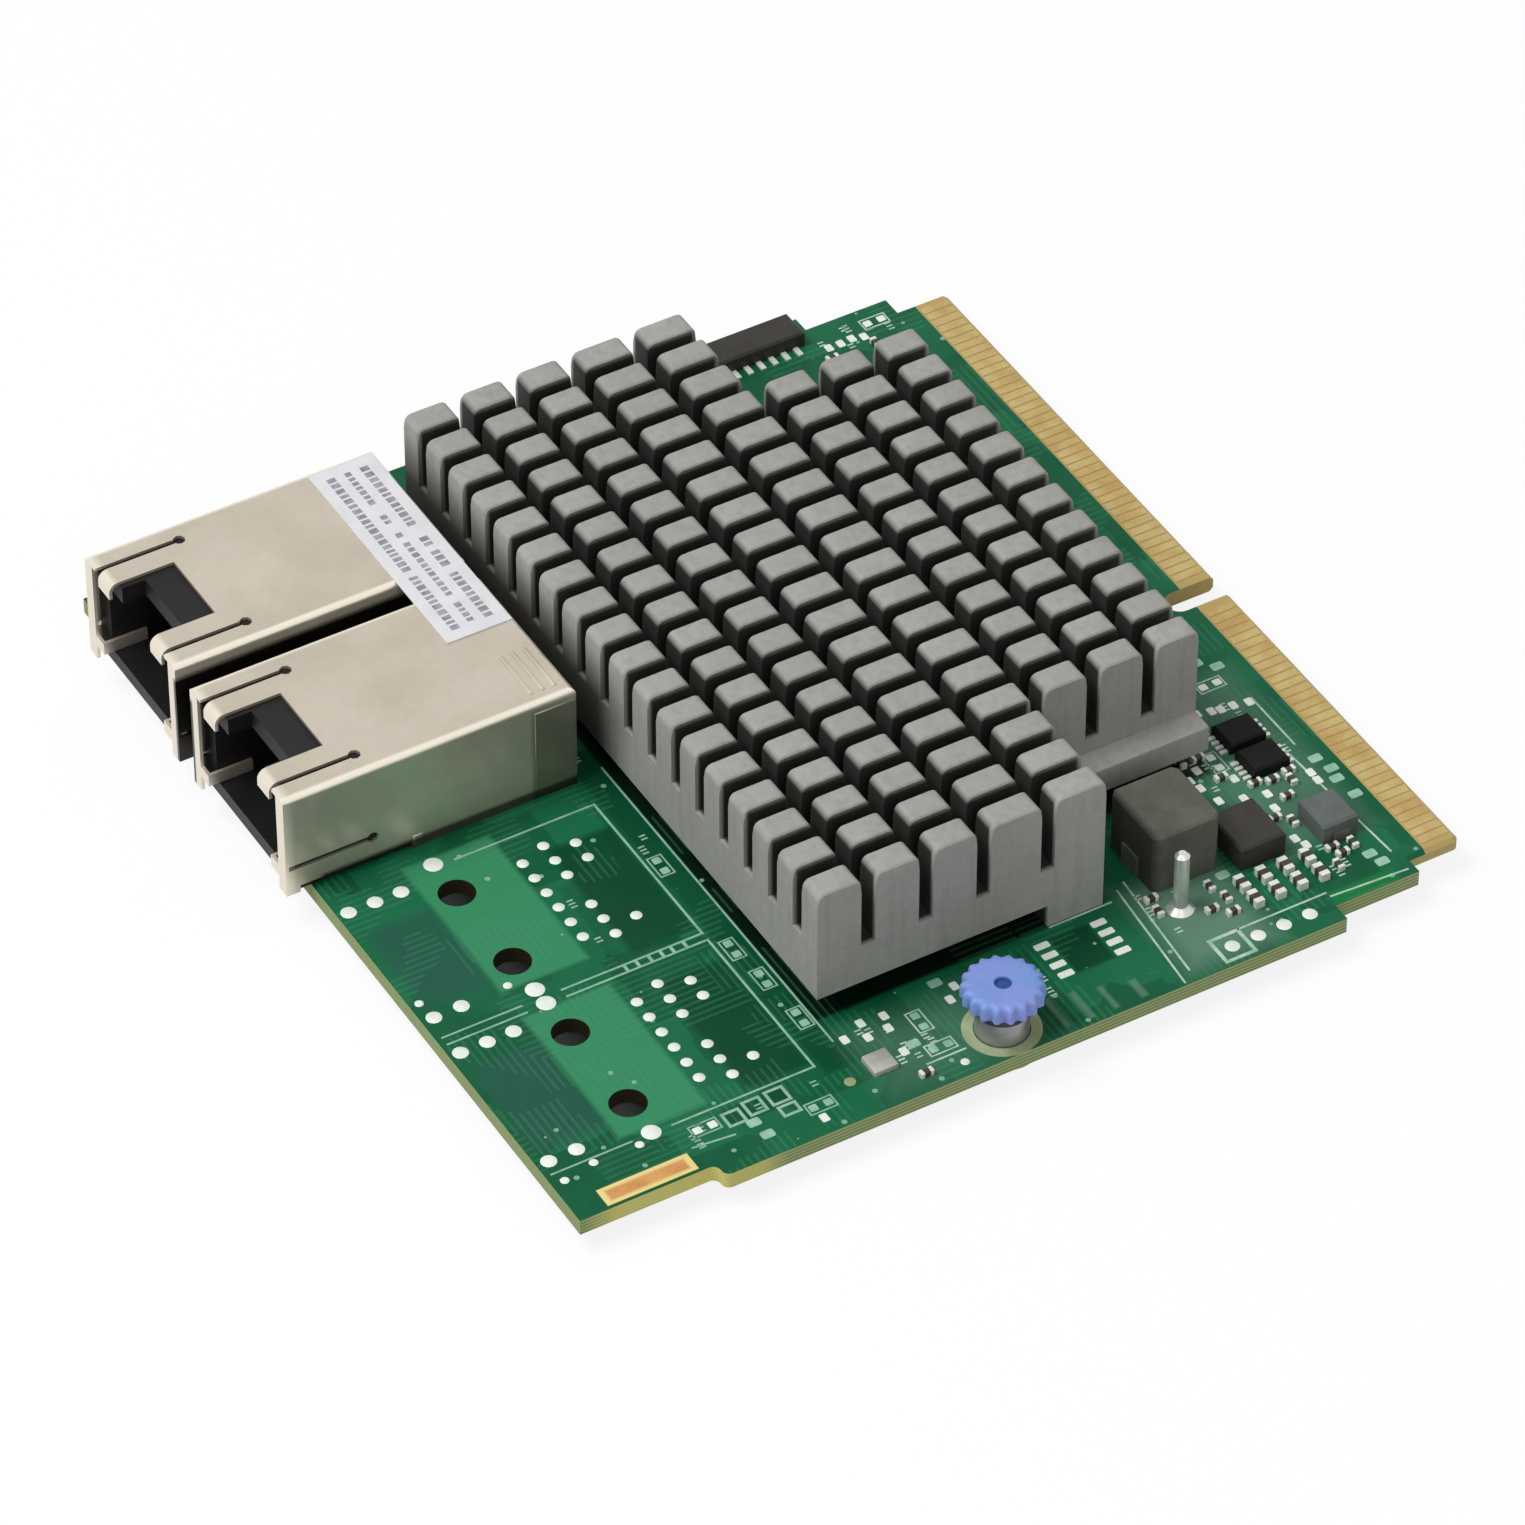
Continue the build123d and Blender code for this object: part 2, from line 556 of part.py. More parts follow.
# Heat sink: a T-shaped block sawn across in rows and columns, with a flange, feet and bosses
with BuildPart() as heat_sink:
    with BuildSketch(Plane.XY.offset(sink_bottom)):
        with Locations((sink_left, sink_front)):
            Rectangle(sink_width, wide_rear - sink_front, align=(Align.MIN, Align.MIN))
        with Locations((narrow_left, sink_front)):
            Rectangle(narrow_right - narrow_left, SINK_DEPTH, align=(Align.MIN, Align.MIN))
    extrude(amount=SINK_HEIGHT)
    for row in range(FIN_ROWS - 1):
        with Locations((sink_left + FIN_THICKNESS + row * row_pitch, sink_front, sink_top)):
            Box(
                row_slot,
                SINK_DEPTH,
                ROW_SLOT_DEPTH,
                align=(Align.MIN, Align.MIN, Align.MAX),
                mode=Mode.SUBTRACT,
            )
    for column_end in column_ends[:-1]:
        with Locations((sink_left, column_end, sink_top)):
            Box(
                sink_width,
                column_slot,
                COLUMN_SLOT_DEPTH,
                align=(Align.MIN, Align.MIN, Align.MAX),
                mode=Mode.SUBTRACT,
            )
    with BuildSketch(Plane.XY.offset(sink_bottom)):
        with Locations(((narrow_left + narrow_right) / 2, wide_rear)):
            Rectangle(
                narrow_right - narrow_left + 2 * FLANGE_WIDTH,
                sink_rear - wide_rear,
                align=(Align.CENTER, Align.MIN),
            )
    extrude(amount=FLANGE_HEIGHT)
    with BuildSketch(Plane.XY.offset(board_top)):
        with Locations(*foot_points):
            Rectangle(FOOT_WIDTH, FOOT_DEPTH)
        with Locations(*boss_points):
            Circle(BOSS_RADIUS)
    extrude(amount=sink_standoff)
    with BuildSketch(Plane.XY.offset(board_top)):
        with Locations(*screw_points):
            RegularPolygon(SCREW_RADIUS + SCREW_FIT, SCREW_SIDES)
    extrude(amount=sink_standoff + SCREW_GRIP, mode=Mode.SUBTRACT)
heat_sink.part.label = "heat_sink"
export_step(heat_sink.part, "parts/heat_sink.step")

with BuildPart() as heat_sink_screws:
    with BuildSketch():
        with Locations(*screw_points):
            RegularPolygon(SCREW_HEAD_RADIUS, SCREW_HEAD_SIDES)
    extrude(amount=SCREW_HEAD_HEIGHT)
    with BuildSketch(Plane.XY.offset(board_bottom)):
        with Locations(*screw_points):
            RegularPolygon(SCREW_RADIUS, SCREW_SIDES)
    extrude(amount=BOARD_THICKNESS + sink_standoff + SCREW_GRIP - SCREW_FIT)
heat_sink_screws.part.label = "heat_sink_screws"
export_step(heat_sink_screws.part, "parts/heat_sink_screws.step")


# Controller under the heat sink, from the board up
with BuildPart() as controller_substrate:
    with Locations((controller_x, controller_y, board_top)):
        Box(SUBSTRATE_SIZE, SUBSTRATE_SIZE, SUBSTRATE_THICKNESS, align=ON_FLOOR)
controller_substrate.part.label = "controller_substrate"
export_step(controller_substrate.part, "parts/controller_substrate.step")

with BuildPart() as controller_lid:
    with Locations((controller_x, controller_y, board_top + SUBSTRATE_THICKNESS)):
        Box(LID_SIZE, LID_SIZE, LID_THICKNESS, align=ON_FLOOR)
    chamfer(controller_lid.faces().sort_by(Axis.Z)[-1].edges(), BODY_CHAMFER)
controller_lid.part.label = "controller_lid"
export_step(controller_lid.part, "parts/controller_lid.step")

with BuildPart() as thermal_pad:
    with Locations((controller_x, controller_y, sink_bottom)):
        Box(PAD_SIZE, PAD_SIZE, PAD_THICKNESS, align=UNDER)
thermal_pad.part.label = "thermal_pad"
export_step(thermal_pad.part, "parts/thermal_pad.step")


# Moulded choke with a wrapped terminal on its front and rear sides
inductor_x = right - INDUCTOR_FROM_RIGHT
inductor_y = rear - INDUCTOR_FROM_REAR
with BuildPart() as power_inductor:
    with Locations((inductor_x, inductor_y, board_top)):
        Box(INDUCTOR_WIDTH, INDUCTOR_DEPTH, INDUCTOR_HEIGHT, align=ON_FLOOR)
    chamfer(power_inductor.edges().filter_by(Axis.Z), INDUCTOR_CHAMFER)
    chamfer(power_inductor.faces().sort_by(Axis.Z)[-1].edges(), BODY_CHAMFER)
power_inductor.part.label = "power_inductor"
export_step(power_inductor.part, "parts/power_inductor.step")

with BuildPart() as power_inductor_terminals:
    with Locations((inductor_x, inductor_y, board_top)):
        with GridLocations(0, INDUCTOR_DEPTH + TERMINAL_THICKNESS, 1, 2):
            Box(TERMINAL_WIDTH, TERMINAL_THICKNESS, TERMINAL_HEIGHT, align=ON_FLOOR)
power_inductor_terminals.part.label = "power_inductor_terminals"
export_step(power_inductor_terminals.part, "parts/power_inductor_terminals.step")


# Upright post on a soldered collar
with BuildPart() as metal_post:
    with Locations((right - POST_FROM_RIGHT, rear - POST_FROM_REAR, board_top)):
        Cylinder(POST_RADIUS, POST_HEIGHT, align=ON_FLOOR)
        Cone(POST_COLLAR_RADIUS, POST_RADIUS, POST_COLLAR_HEIGHT, align=ON_FLOOR)
    chamfer(metal_post.edges().sort_by(Axis.Z)[-1], POST_RADIUS / 2)
metal_post.part.label = "metal_post"
export_step(metal_post.part, "parts/metal_post.step")


# Low black block behind the choke
with BuildPart() as regulator_block:
    with Locations((right - REGULATOR_FROM_RIGHT, rear - REGULATOR_FROM_REAR, board_top)):
        Box(REGULATOR_WIDTH, REGULATOR_DEPTH, REGULATOR_HEIGHT, align=ON_FLOOR)
    chamfer(regulator_block.faces().sort_by(Axis.Z)[-1].edges(), BODY_CHAMFER)
regulator_block.part.label = "regulator_block"
export_step(regulator_block.part, "parts/regulator_block.step")


# Power chips side by side, with leads on their front and rear edges
mosfet_centre = (right - MOSFET_FROM_RIGHT, rear - MOSFET_FROM_REAR, board_top)
with BuildPart() as mosfets:
    with Locations(mosfet_centre):
        with GridLocations(MOSFET_PITCH, 0, MOSFET_COUNT, 1):
            Box(MOSFET_WIDTH, MOSFET_DEPTH, MOSFET_HEIGHT, align=ON_FLOOR)
    chamfer(mosfets.faces().group_by(Axis.Z)[-1].edges(), BODY_CHAMFER)
mosfets.part.label = "mosfets"
export_step(mosfets.part, "parts/mosfets.step")

with BuildPart() as mosfet_leads:
    with Locations(mosfet_centre):
        with GridLocations(MOSFET_PITCH, 0, MOSFET_COUNT, 1):
            with GridLocations(LEAD_PITCH, MOSFET_DEPTH + LEAD_LENGTH, LEAD_COUNT, 2):
                Box(LEAD_WIDTH, LEAD_LENGTH, LEAD_THICKNESS, align=ON_FLOOR)
mosfet_leads.part.label = "mosfet_leads"
export_step(mosfet_leads.part, "parts/mosfet_leads.step")


# Grey moulded capacitor with a plate at each end
tantalum_centre = (right - TANTALUM_FROM_RIGHT, rear - TANTALUM_FROM_REAR, board_top)
with BuildPart() as tantalum_capacitor:
    with Locations(tantalum_centre):
        Box(TANTALUM_WIDTH, TANTALUM_DEPTH, TANTALUM_HEIGHT, align=ON_FLOOR)
    chamfer(tantalum_capacitor.faces().sort_by(Axis.Z)[-1].edges(), BODY_CHAMFER)
tantalum_capacitor.part.label = "tantalum_capacitor"
export_step(tantalum_capacitor.part, "parts/tantalum_capacitor.step")

with BuildPart() as tantalum_ends:
    with Locations(tantalum_centre):
        with GridLocations(TANTALUM_WIDTH + TANTALUM_END, 0, 2, 1):
            Box(TANTALUM_END, TANTALUM_DEPTH / 2, TANTALUM_HEIGHT / 2, align=ON_FLOOR)
tantalum_ends.part.label = "tantalum_ends"
export_step(tantalum_ends.part, "parts/tantalum_ends.step")


# Ceramic chips: a body between two metal ends, in a block beside the right edge
chip_centre = (right - CHIP_FROM_RIGHT, rear - CHIP_FROM_REAR, board_top)
chip_body = CHIP_LENGTH - 2 * CHIP_END
with BuildPart() as chip_capacitors:
    with Locations(chip_centre):
        with GridLocations(CHIP_ROW_PITCH, CHIP_COLUMN_PITCH, CHIP_ROWS, CHIP_COLUMNS):
            Box(chip_body, CHIP_WIDTH, CHIP_HEIGHT, align=ON_FLOOR)
chip_capacitors.part.label = "chip_capacitors"
export_step(chip_capacitors.part, "parts/chip_capacitors.step")

with BuildPart() as chip_capacitor_ends:
    with Locations(chip_centre):
        with GridLocations(CHIP_ROW_PITCH, CHIP_COLUMN_PITCH, CHIP_ROWS, CHIP_COLUMNS):
            with GridLocations(CHIP_LENGTH - CHIP_END, 0, 2, 1):
                Box(CHIP_END, CHIP_WIDTH, CHIP_HEIGHT, align=ON_FLOOR)
chip_capacitor_ends.part.label = "chip_capacitor_ends"
export_step(chip_capacitor_ends.part, "parts/chip_capacitor_ends.step")


# The same chips below the board, under the controller
under_centre = (controller_x, controller_y, board_bottom)
with BuildPart() as underside_capacitors:
    with Locations(under_centre):
        with GridLocations(
            UNDER_CHIP_ROW_PITCH, UNDER_CHIP_COLUMN_PITCH, UNDER_CHIP_ROWS, UNDER_CHIP_COLUMNS
        ):
            Box(chip_body, CHIP_WIDTH, CHIP_HEIGHT, align=UNDER)
underside_capacitors.part.label = "underside_capacitors"
export_step(underside_capacitors.part, "parts/underside_capacitors.step")

with BuildPart() as underside_capacitor_ends:
    with Locations(under_centre):
        with GridLocations(
            UNDER_CHIP_ROW_PITCH, UNDER_CHIP_COLUMN_PITCH, UNDER_CHIP_ROWS, UNDER_CHIP_COLUMNS
        ):
            with GridLocations(CHIP_LENGTH - CHIP_END, 0, 2, 1):
                Box(CHIP_END, CHIP_WIDTH, CHIP_HEIGHT, align=UNDER)
underside_capacitor_ends.part.label = "underside_capacitor_ends"
export_step(underside_capacitor_ends.part, "parts/underside_capacitor_ends.step")


# Low connector that opens towards the left edge, with its tails on the inner side
sideband_left = left + SIDEBAND_FROM_LEFT
sideband_y = rear - SIDEBAND_FROM_REAR
with BuildPart() as sideband_connector:
    with Locations((sideband_left, sideband_y, board_top)):
        Box(
            SIDEBAND_WIDTH,
            SIDEBAND_LENGTH,
            SIDEBAND_HEIGHT,
            align=(Align.MIN, Align.CENTER, Align.MIN),
        )
    chamfer(sideband_connector.faces().sort_by(Axis.Z)[-1].edges(), BODY_CHAMFER)
    with Locations((sideband_left, sideband_y, board_top + SIDEBAND_HEIGHT / 2)):
        Box(
            2 * SIDEBAND_SLOT_DEPTH,
            SIDEBAND_LENGTH - 2 * SIDEBAND_SLOT_MARGIN,
            SIDEBAND_SLOT_HEIGHT,
            mode=Mode.SUBTRACT,
        )
sideband_connector.part.label = "sideband_connector"
export_step(sideband_connector.part, "parts/sideband_connector.step")

with BuildPart() as sideband_contacts:
    with Locations((sideband_left + SIDEBAND_WIDTH, sideband_y, board_top)):
        with GridLocations(0, SIDEBAND_PITCH, 1, SIDEBAND_CONTACTS):
            Box(
                SIDEBAND_TAIL_LENGTH,
                SIDEBAND_TAIL_WIDTH,
                SIDEBAND_TAIL_THICKNESS,
                align=(Align.MIN, Align.CENTER, Align.MIN),
            )
sideband_contacts.part.label = "sideband_contacts"
export_step(sideband_contacts.part, "parts/sideband_contacts.step")


# Captive thumbscrew: a sleeve in the board holds the neck of the screw with an inner shelf
with BuildPart() as thumbscrew_ferrule:
    with BuildSketch(Plane.XZ.offset(-thumb_y)):
        with BuildLine():
            Polyline(
                (thumb_x + FERRULE_LOWER_RADIUS, board_bottom),
                (thumb_x + FERRULE_SPIGOT_RADIUS, board_bottom),
                (thumb_x + FERRULE_SPIGOT_RADIUS, board_top),
                (thumb_x + FERRULE_RADIUS, board_top),
                (thumb_x + FERRULE_RADIUS, ferrule_top),
                (thumb_x + FERRULE_BORE_RADIUS, ferrule_top),
                (thumb_x + FERRULE_BORE_RADIUS, board_top + SHELF_THICKNESS),
                (thumb_x + NECK_RADIUS + NECK_CLEARANCE, board_top + SHELF_THICKNESS),
                (thumb_x + NECK_RADIUS + NECK_CLEARANCE, board_top),
                (thumb_x + FERRULE_LOWER_RADIUS, board_top),
                close=True,
            )
        make_face()
    revolve(axis=Axis((thumb_x, thumb_y, 0), (0, 0, 1)))
thumbscrew_ferrule.part.label = "thumbscrew_ferrule"
export_step(thumbscrew_ferrule.part, "parts/thumbscrew_ferrule.step")

with BuildPart() as thumbscrew_knob:
    with BuildSketch(Plane.XY.offset(knob_bottom)):
        with Locations((thumb_x, thumb_y)):
            Circle(KNOB_RADIUS)
            with PolarLocations(KNOB_RADIUS - KNOB_LOBE_RADIUS / 4, KNOB_LOBES):
                RegularPolygon(KNOB_LOBE_RADIUS, 6)
    extrude(amount=KNOB_SKIRT + KNOB_CROWN - KNOB_CHAMFER)
    with Locations((thumb_x, thumb_y, knob_top - KNOB_CHAMFER)):
        Cone(KNOB_RADIUS, KNOB_RADIUS - KNOB_CHAMFER, KNOB_CHAMFER, align=ON_FLOOR)
    with Locations((thumb_x, thumb_y, knob_bottom)):
        Cylinder(
            FERRULE_RADIUS + KNOB_BORE_CLEARANCE,
            KNOB_SKIRT,
            align=ON_FLOOR,
            mode=Mode.SUBTRACT,
        )
    with BuildSketch(Plane.XY.offset(knob_top)):
        with Locations((thumb_x, thumb_y)):
            RegularPolygon(KNOB_RECESS_RADIUS, 6)
    extrude(amount=-KNOB_RECESS_DEPTH, mode=Mode.SUBTRACT)
thumbscrew_knob.part.label = "thumbscrew_knob"
export_step(thumbscrew_knob.part, "parts/thumbscrew_knob.step")

with BuildPart() as thumbscrew_screw:
    with Locations((thumb_x, thumb_y, screw_flange)):
        Cylinder(FLANGE_RADIUS, FLANGE_THICKNESS, align=ON_FLOOR)
    with Locations((thumb_x, thumb_y, board_top - THREAD_PLAY)):
        Cylinder(NECK_RADIUS, screw_flange - board_top + THREAD_PLAY, align=ON_FLOOR)
        Cylinder(THREAD_RADIUS, BOARD_THICKNESS - THREAD_PLAY, align=UNDER)
thumbscrew_screw.part.label = "thumbscrew_screw"
export_step(thumbscrew_screw.part, "parts/thumbscrew_screw.step")

spring_low = board_top + SHELF_THICKNESS + SPRING_WIRE_RADIUS
spring_high = screw_flange - SPRING_WIRE_RADIUS
with BuildPart() as thumbscrew_spring:
    with BuildLine() as coil:
        Helix(
            (spring_high - spring_low) / SPRING_TURNS,
            spring_high - spring_low,
            SPRING_RADIUS,
            center=(thumb_x, thumb_y, spring_low),
        )
    with BuildSketch(Plane(coil.line @ 0, z_dir=coil.line % 0)):
        RegularPolygon(SPRING_WIRE_RADIUS, 4)
    sweep(is_frenet=True)
thumbscrew_spring.part.label = "thumbscrew_spring"
export_step(thumbscrew_spring.part, "parts/thumbscrew_spring.step")
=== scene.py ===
import math
import random

import bmesh
import bpy
from mathutils import Matrix, Vector


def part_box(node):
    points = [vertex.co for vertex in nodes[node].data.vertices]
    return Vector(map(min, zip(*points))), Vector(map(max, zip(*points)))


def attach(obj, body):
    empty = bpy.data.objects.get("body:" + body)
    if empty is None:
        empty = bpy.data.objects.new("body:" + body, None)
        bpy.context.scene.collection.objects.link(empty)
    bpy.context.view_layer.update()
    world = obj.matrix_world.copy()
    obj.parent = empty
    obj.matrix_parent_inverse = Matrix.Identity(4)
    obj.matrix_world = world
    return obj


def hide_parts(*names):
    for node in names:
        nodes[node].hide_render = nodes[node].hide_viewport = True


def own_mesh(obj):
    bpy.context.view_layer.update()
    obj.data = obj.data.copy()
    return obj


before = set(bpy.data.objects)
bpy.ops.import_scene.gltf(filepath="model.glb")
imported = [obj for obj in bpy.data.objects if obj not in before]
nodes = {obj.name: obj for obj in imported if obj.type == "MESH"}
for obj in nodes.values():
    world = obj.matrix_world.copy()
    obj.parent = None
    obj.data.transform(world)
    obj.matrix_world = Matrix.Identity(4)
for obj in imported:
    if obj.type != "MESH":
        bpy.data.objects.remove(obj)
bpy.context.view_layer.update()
MM = 0.001
UP = Vector((0, 0, 1))
# Two coordinates closer than this are taken as the same
SAME = 1e-6

# Datums: board points are given in mm, x from the centre line, y from the front edge, z from the top
board_low, board_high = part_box("circuit_board")
FRONT, REAR = board_low[1], board_high[1]
BOTTOM, TOP = board_low[2], board_high[2]
sink_low, sink_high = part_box("heat_sink")
knob_low, knob_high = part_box("thumbscrew_knob")
knob_x = (knob_low[0] + knob_high[0]) / 2
knob_y = (knob_low[1] + knob_high[1]) / 2
choke_low, choke_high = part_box("power_inductor")
shield_low, shield_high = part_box("jack_2_shield")
# Centre lines of the four jack places, of which the first two are filled
JACKS = (-29.05, -9.85, 9.85, 29.05)


def at(x, y, z=0.0):
    """A point in metres from millimetres on the board."""
    return Vector((x * MM, FRONT + y * MM, TOP + z * MM))


def below(x, y, z=0.0):
    """The same on the underside, with z counted downwards."""
    return Vector((x * MM, FRONT + y * MM, BOTTOM - z * MM))


def on_board(x, y):
    """Millimetres on the board from metres in the frame."""
    return x / MM, (y - FRONT) / MM


shield_back = on_board(0, shield_high[1])[1]
shield_tall = (shield_high[2] - TOP) / MM


# Heat sink layout: fins in rows along X and columns along Y, with a narrow part behind a wide one

SINK_TALL = 11.5
SHORT_FIN, LONG_FIN = 4.15, 4.86
COLUMN_FINS = [SHORT_FIN] * 3 + [LONG_FIN] * 2 + [SHORT_FIN] * 3
FIN = 2.5
ROWS = 18
ROW_SLOT, COLUMN_SLOT = 6.3, 7.4
WIDE_COLUMNS, NARROW_ROWS = 5, (3, 14)


def stops(sizes, start, end):
    """Where pieces of these sizes begin and end when they share a run with even gaps."""
    gap = (end - start - sum(sizes)) / (len(sizes) - 1)
    out = []
    for size in sizes:
        out += [start, start + size]
        start += size + gap
    return out


sink_top = sink_high[2]
sink_bottom = sink_top - SINK_TALL * MM
x_stops = stops([FIN * MM] * ROWS, sink_low[0], sink_high[0])
y_stops = stops([deep * MM for deep in COLUMN_FINS], sink_low[1], sink_high[1])
wide_rear = y_stops[2 * WIDE_COLUMNS - 1]
narrow_x0, narrow_x1 = x_stops[2 * NARROW_ROWS[0]], x_stops[2 * NARROW_ROWS[1] + 1]


# Colours and node helpers


def srgb(red, green, blue):
    """A colour as seen on screen, 0 to 255, turned into shader values."""
    out = []
    for value in (red, green, blue):
        v = value / 255
        out.append(v / 12.92 if v <= 0.04045 else ((v + 0.055) / 1.055) ** 2.4)
    return (*out, 1.0)


# Sockets of the Mix node that hold colours
MIX_A, MIX_B, MIX_RESULT = 6, 7, 2


class Tree:
    """A node tree with short calls for adding and joining nodes."""

    def __init__(self, tree):
        self.tree = tree

    def add(self, kind, values=None, **settings):
        """A new node with its settings, then its inputs."""
        node = self.tree.nodes.new(kind)
        for key, value in settings.items():
            setattr(node, key, value)
        for key, value in (values or {}).items():
            self.feed(node.inputs[key], value)
        return node

    def feed(self, socket, value):
        """Joins a socket to another one, or gives it a plain value."""
        if isinstance(value, bpy.types.NodeSocket):
            self.tree.links.new(value, socket)
        else:
            socket.default_value = value

    def use(self, effect, *values):
        """Places a shader group with values for its inputs in order, and gives back its output."""
        return self.add("ShaderNodeGroup", dict(enumerate(values)), node_tree=effect).outputs[0]

    def math(self, operation, a, b=0.5, clamp=False):
        node = self.add("ShaderNodeMath", {0: a, 1: b}, operation=operation, use_clamp=clamp)
        return node.outputs[0]

    def times(self, value, *others):
        """The product of all these values."""
        for other in others:
            value = self.math("MULTIPLY", value, other)
        return value

    def rest(self, value):
        """What is left of 1."""
        return self.math("SUBTRACT", 1.0, value)

    def mix(self, factor, a, b, blend="MIX"):
        node = self.add("ShaderNodeMix", data_type="RGBA", blend_type=blend)
        self.feed(node.inputs[0], factor)
        self.feed(node.inputs[MIX_A], a)
        self.feed(node.inputs[MIX_B], b)
        return node.outputs[MIX_RESULT]

    def ramp(self, value, start, end):
        """0 at the start, 1 at the end and even between them."""
        node = self.add("ShaderNodeMapRange", {0: value, 1: start, 2: end}, clamp=True)
        return node.outputs[0]

    def fade(self, value, datum, start, end):
        """The same between two distances in millimetres from a datum."""
        return self.ramp(value, datum + start * MM, datum + end * MM)

    def noise(self, place, scale, detail, distortion=0.0):
        values = {"Vector": place, "Scale": scale, "Detail": detail, "Distortion": distortion}
        return self.add("ShaderNodeTexNoise", values).outputs[0]

    def bands(self, place, scale, axis, distortion=0.0):
        """Even bands that follow each other along an axis."""
        values = {"Vector": place, "Scale": scale, "Distortion": distortion}
        node = self.add("ShaderNodeTexWave", values, wave_type="BANDS", bands_direction=axis)
        return node.outputs["Fac"]

    def cells(self, place, scale, **settings):
        """Random cells: three random values for each cell, and the distance from its middle."""
        node = self.add("ShaderNodeTexVoronoi", {"Vector": place, "Scale": scale}, **settings)
        chances = self.add("ShaderNodeSeparateColor", {0: node.outputs["Color"]}).outputs
        return chances, node.outputs["Distance"]

    def place(self):
        return self.add("ShaderNodeTexCoord").outputs["Object"]

    def spot(self):
        """The place as three values."""
        return self.add("ShaderNodeSeparateXYZ", {0: self.place()}).outputs

    def seen(self):
        """1 where the camera sees a surface, also in a mirror or through glass."""
        path = self.add("ShaderNodeLightPath").outputs
        mirrored = self.math("MAXIMUM", path["Is Glossy Ray"], path["Is Transmission Ray"])
        return self.math("MAXIMUM", path["Is Camera Ray"], mirrored)

    def patch(self, low, high, soft=0.35):
        """A mask of the rectangle between two board points, with edges this soft in millimetres."""
        a, b = at(*low), at(*high)
        middle, half = (a + b) / 2, (b - a) / 2
        return self.use(patch_group, middle.x, middle.y, half.x, half.y, soft * MM)


def group(name, inputs, output):
    """A new shader group, its tree, what it is given and what it puts out."""
    made = bpy.data.node_groups.new(name, "ShaderNodeTree")
    for label, kind in inputs:
        made.interface.new_socket(label, in_out="INPUT", socket_type=kind)
    made.interface.new_socket(output[0], in_out="OUTPUT", socket_type=output[1])
    tree = Tree(made)
    return made, tree, tree.add("NodeGroupInput").outputs, tree.add("NodeGroupOutput").inputs[0]


FLOAT = "NodeSocketFloat"
COLOUR = "NodeSocketColor"
VECTOR = "NodeSocketVector"


def blotched_colour():
    """Blotches of two colours with a finer speckle over them."""
    colours = [("Main", COLOUR), ("Other", COLOUR)]
    amounts = [("Scale", FLOAT), ("Amount", FLOAT), ("Speckle", FLOAT)]
    made, t, given, result = group("blotched_colour", colours + amounts, ("Color", COLOUR))
    place = t.place()
    mask = t.times(t.ramp(t.noise(place, given["Scale"], 4.0), 0.36, 0.66), given["Amount"])
    fine = t.noise(place, t.times(given["Scale"], 9.0), 2.0)
    speck = t.times(t.math("SUBTRACT", fine, 0.5), given["Speckle"])
    level = t.math("ADD", speck, 1.0)
    grey = t.add("ShaderNodeCombineColor", {0: level, 1: level, 2: level}).outputs[0]
    colour = t.mix(mask, given["Main"], given["Other"])
    t.feed(result, t.mix(1.0, colour, grey, "MULTIPLY"))
    return made


def fine_grain():
    """Fine surface grain as a bump normal."""
    inputs = [("Scale", FLOAT), ("Strength", FLOAT)]
    made, t, given, result = group("fine_grain", inputs, ("Normal", VECTOR))
    grain = t.noise(t.place(), given["Scale"], 3.0)
    values = {"Strength": given["Strength"], "Distance": 0.05 * MM, "Height": grain}
    t.feed(result, t.add("ShaderNodeBump", values).outputs[0])
    return made


def handling_marks():
    """Dust and handling marks: a mask that gathers in large soft patches."""
    made, t, given, result = group("handling_marks", [("Scale", FLOAT)], ("Mask", FLOAT))
    t.feed(result, t.ramp(t.noise(t.place(), given["Scale"], 5.0, 0.6), 0.48, 0.72))
    return made


def soft_rectangle():
    """A soft-edged rectangle seen from above as a mask."""
    inputs = [(label, FLOAT) for label in ("X", "Y", "Half X", "Half Y", "Soft")]
    made, t, given, result = group("soft_rectangle", inputs, ("Mask", FLOAT))
    past = []
    for axis, name in enumerate("XY"):
        away = t.math("ABSOLUTE", t.math("SUBTRACT", t.spot()[axis], given[name]))
        past.append(t.math("SUBTRACT", away, given["Half " + name]))
    past = t.math("DIVIDE", t.math("MAXIMUM", *past), given["Soft"])
    t.feed(result, t.math("SUBTRACT", 0.5, past, clamp=True))
    return made


blotch_group = blotched_colour()
grain_group = fine_grain()
smudge_group = handling_marks()
patch_group = soft_rectangle()


def material(name):
    """A new material, its tree and its shader."""
    made = bpy.data.materials.new(name)
    made.use_nodes = True
    return made, Tree(made.node_tree), made.node_tree.nodes["Principled BSDF"]


def paint(
    name, main, other, scale=300, amount=0.5, speckle=0.1, rough=0.4, spread=0.12, metal=0.0,
    grain=4000, strength=0.15, smudge=80, specular=0.5, shade=None,
):
    """A material of blotched colour with grain and handling marks in its gloss."""
    made, t, shader = material(name)
    colour = t.use(blotch_group, main, other, scale, amount, speckle)
    t.feed(shader.inputs["Base Color"], shade(t, colour) if shade else colour)
    marks = t.times(t.use(smudge_group, smudge), spread)
    t.feed(shader.inputs["Roughness"], t.math("ADD", marks, rough))
    t.feed(shader.inputs["Normal"], t.use(grain_group, grain, strength))
    shader.inputs["Metallic"].default_value = metal
    shader.inputs["Specular IOR Level"].default_value = specular
    return made


# Shades that follow the place on a part

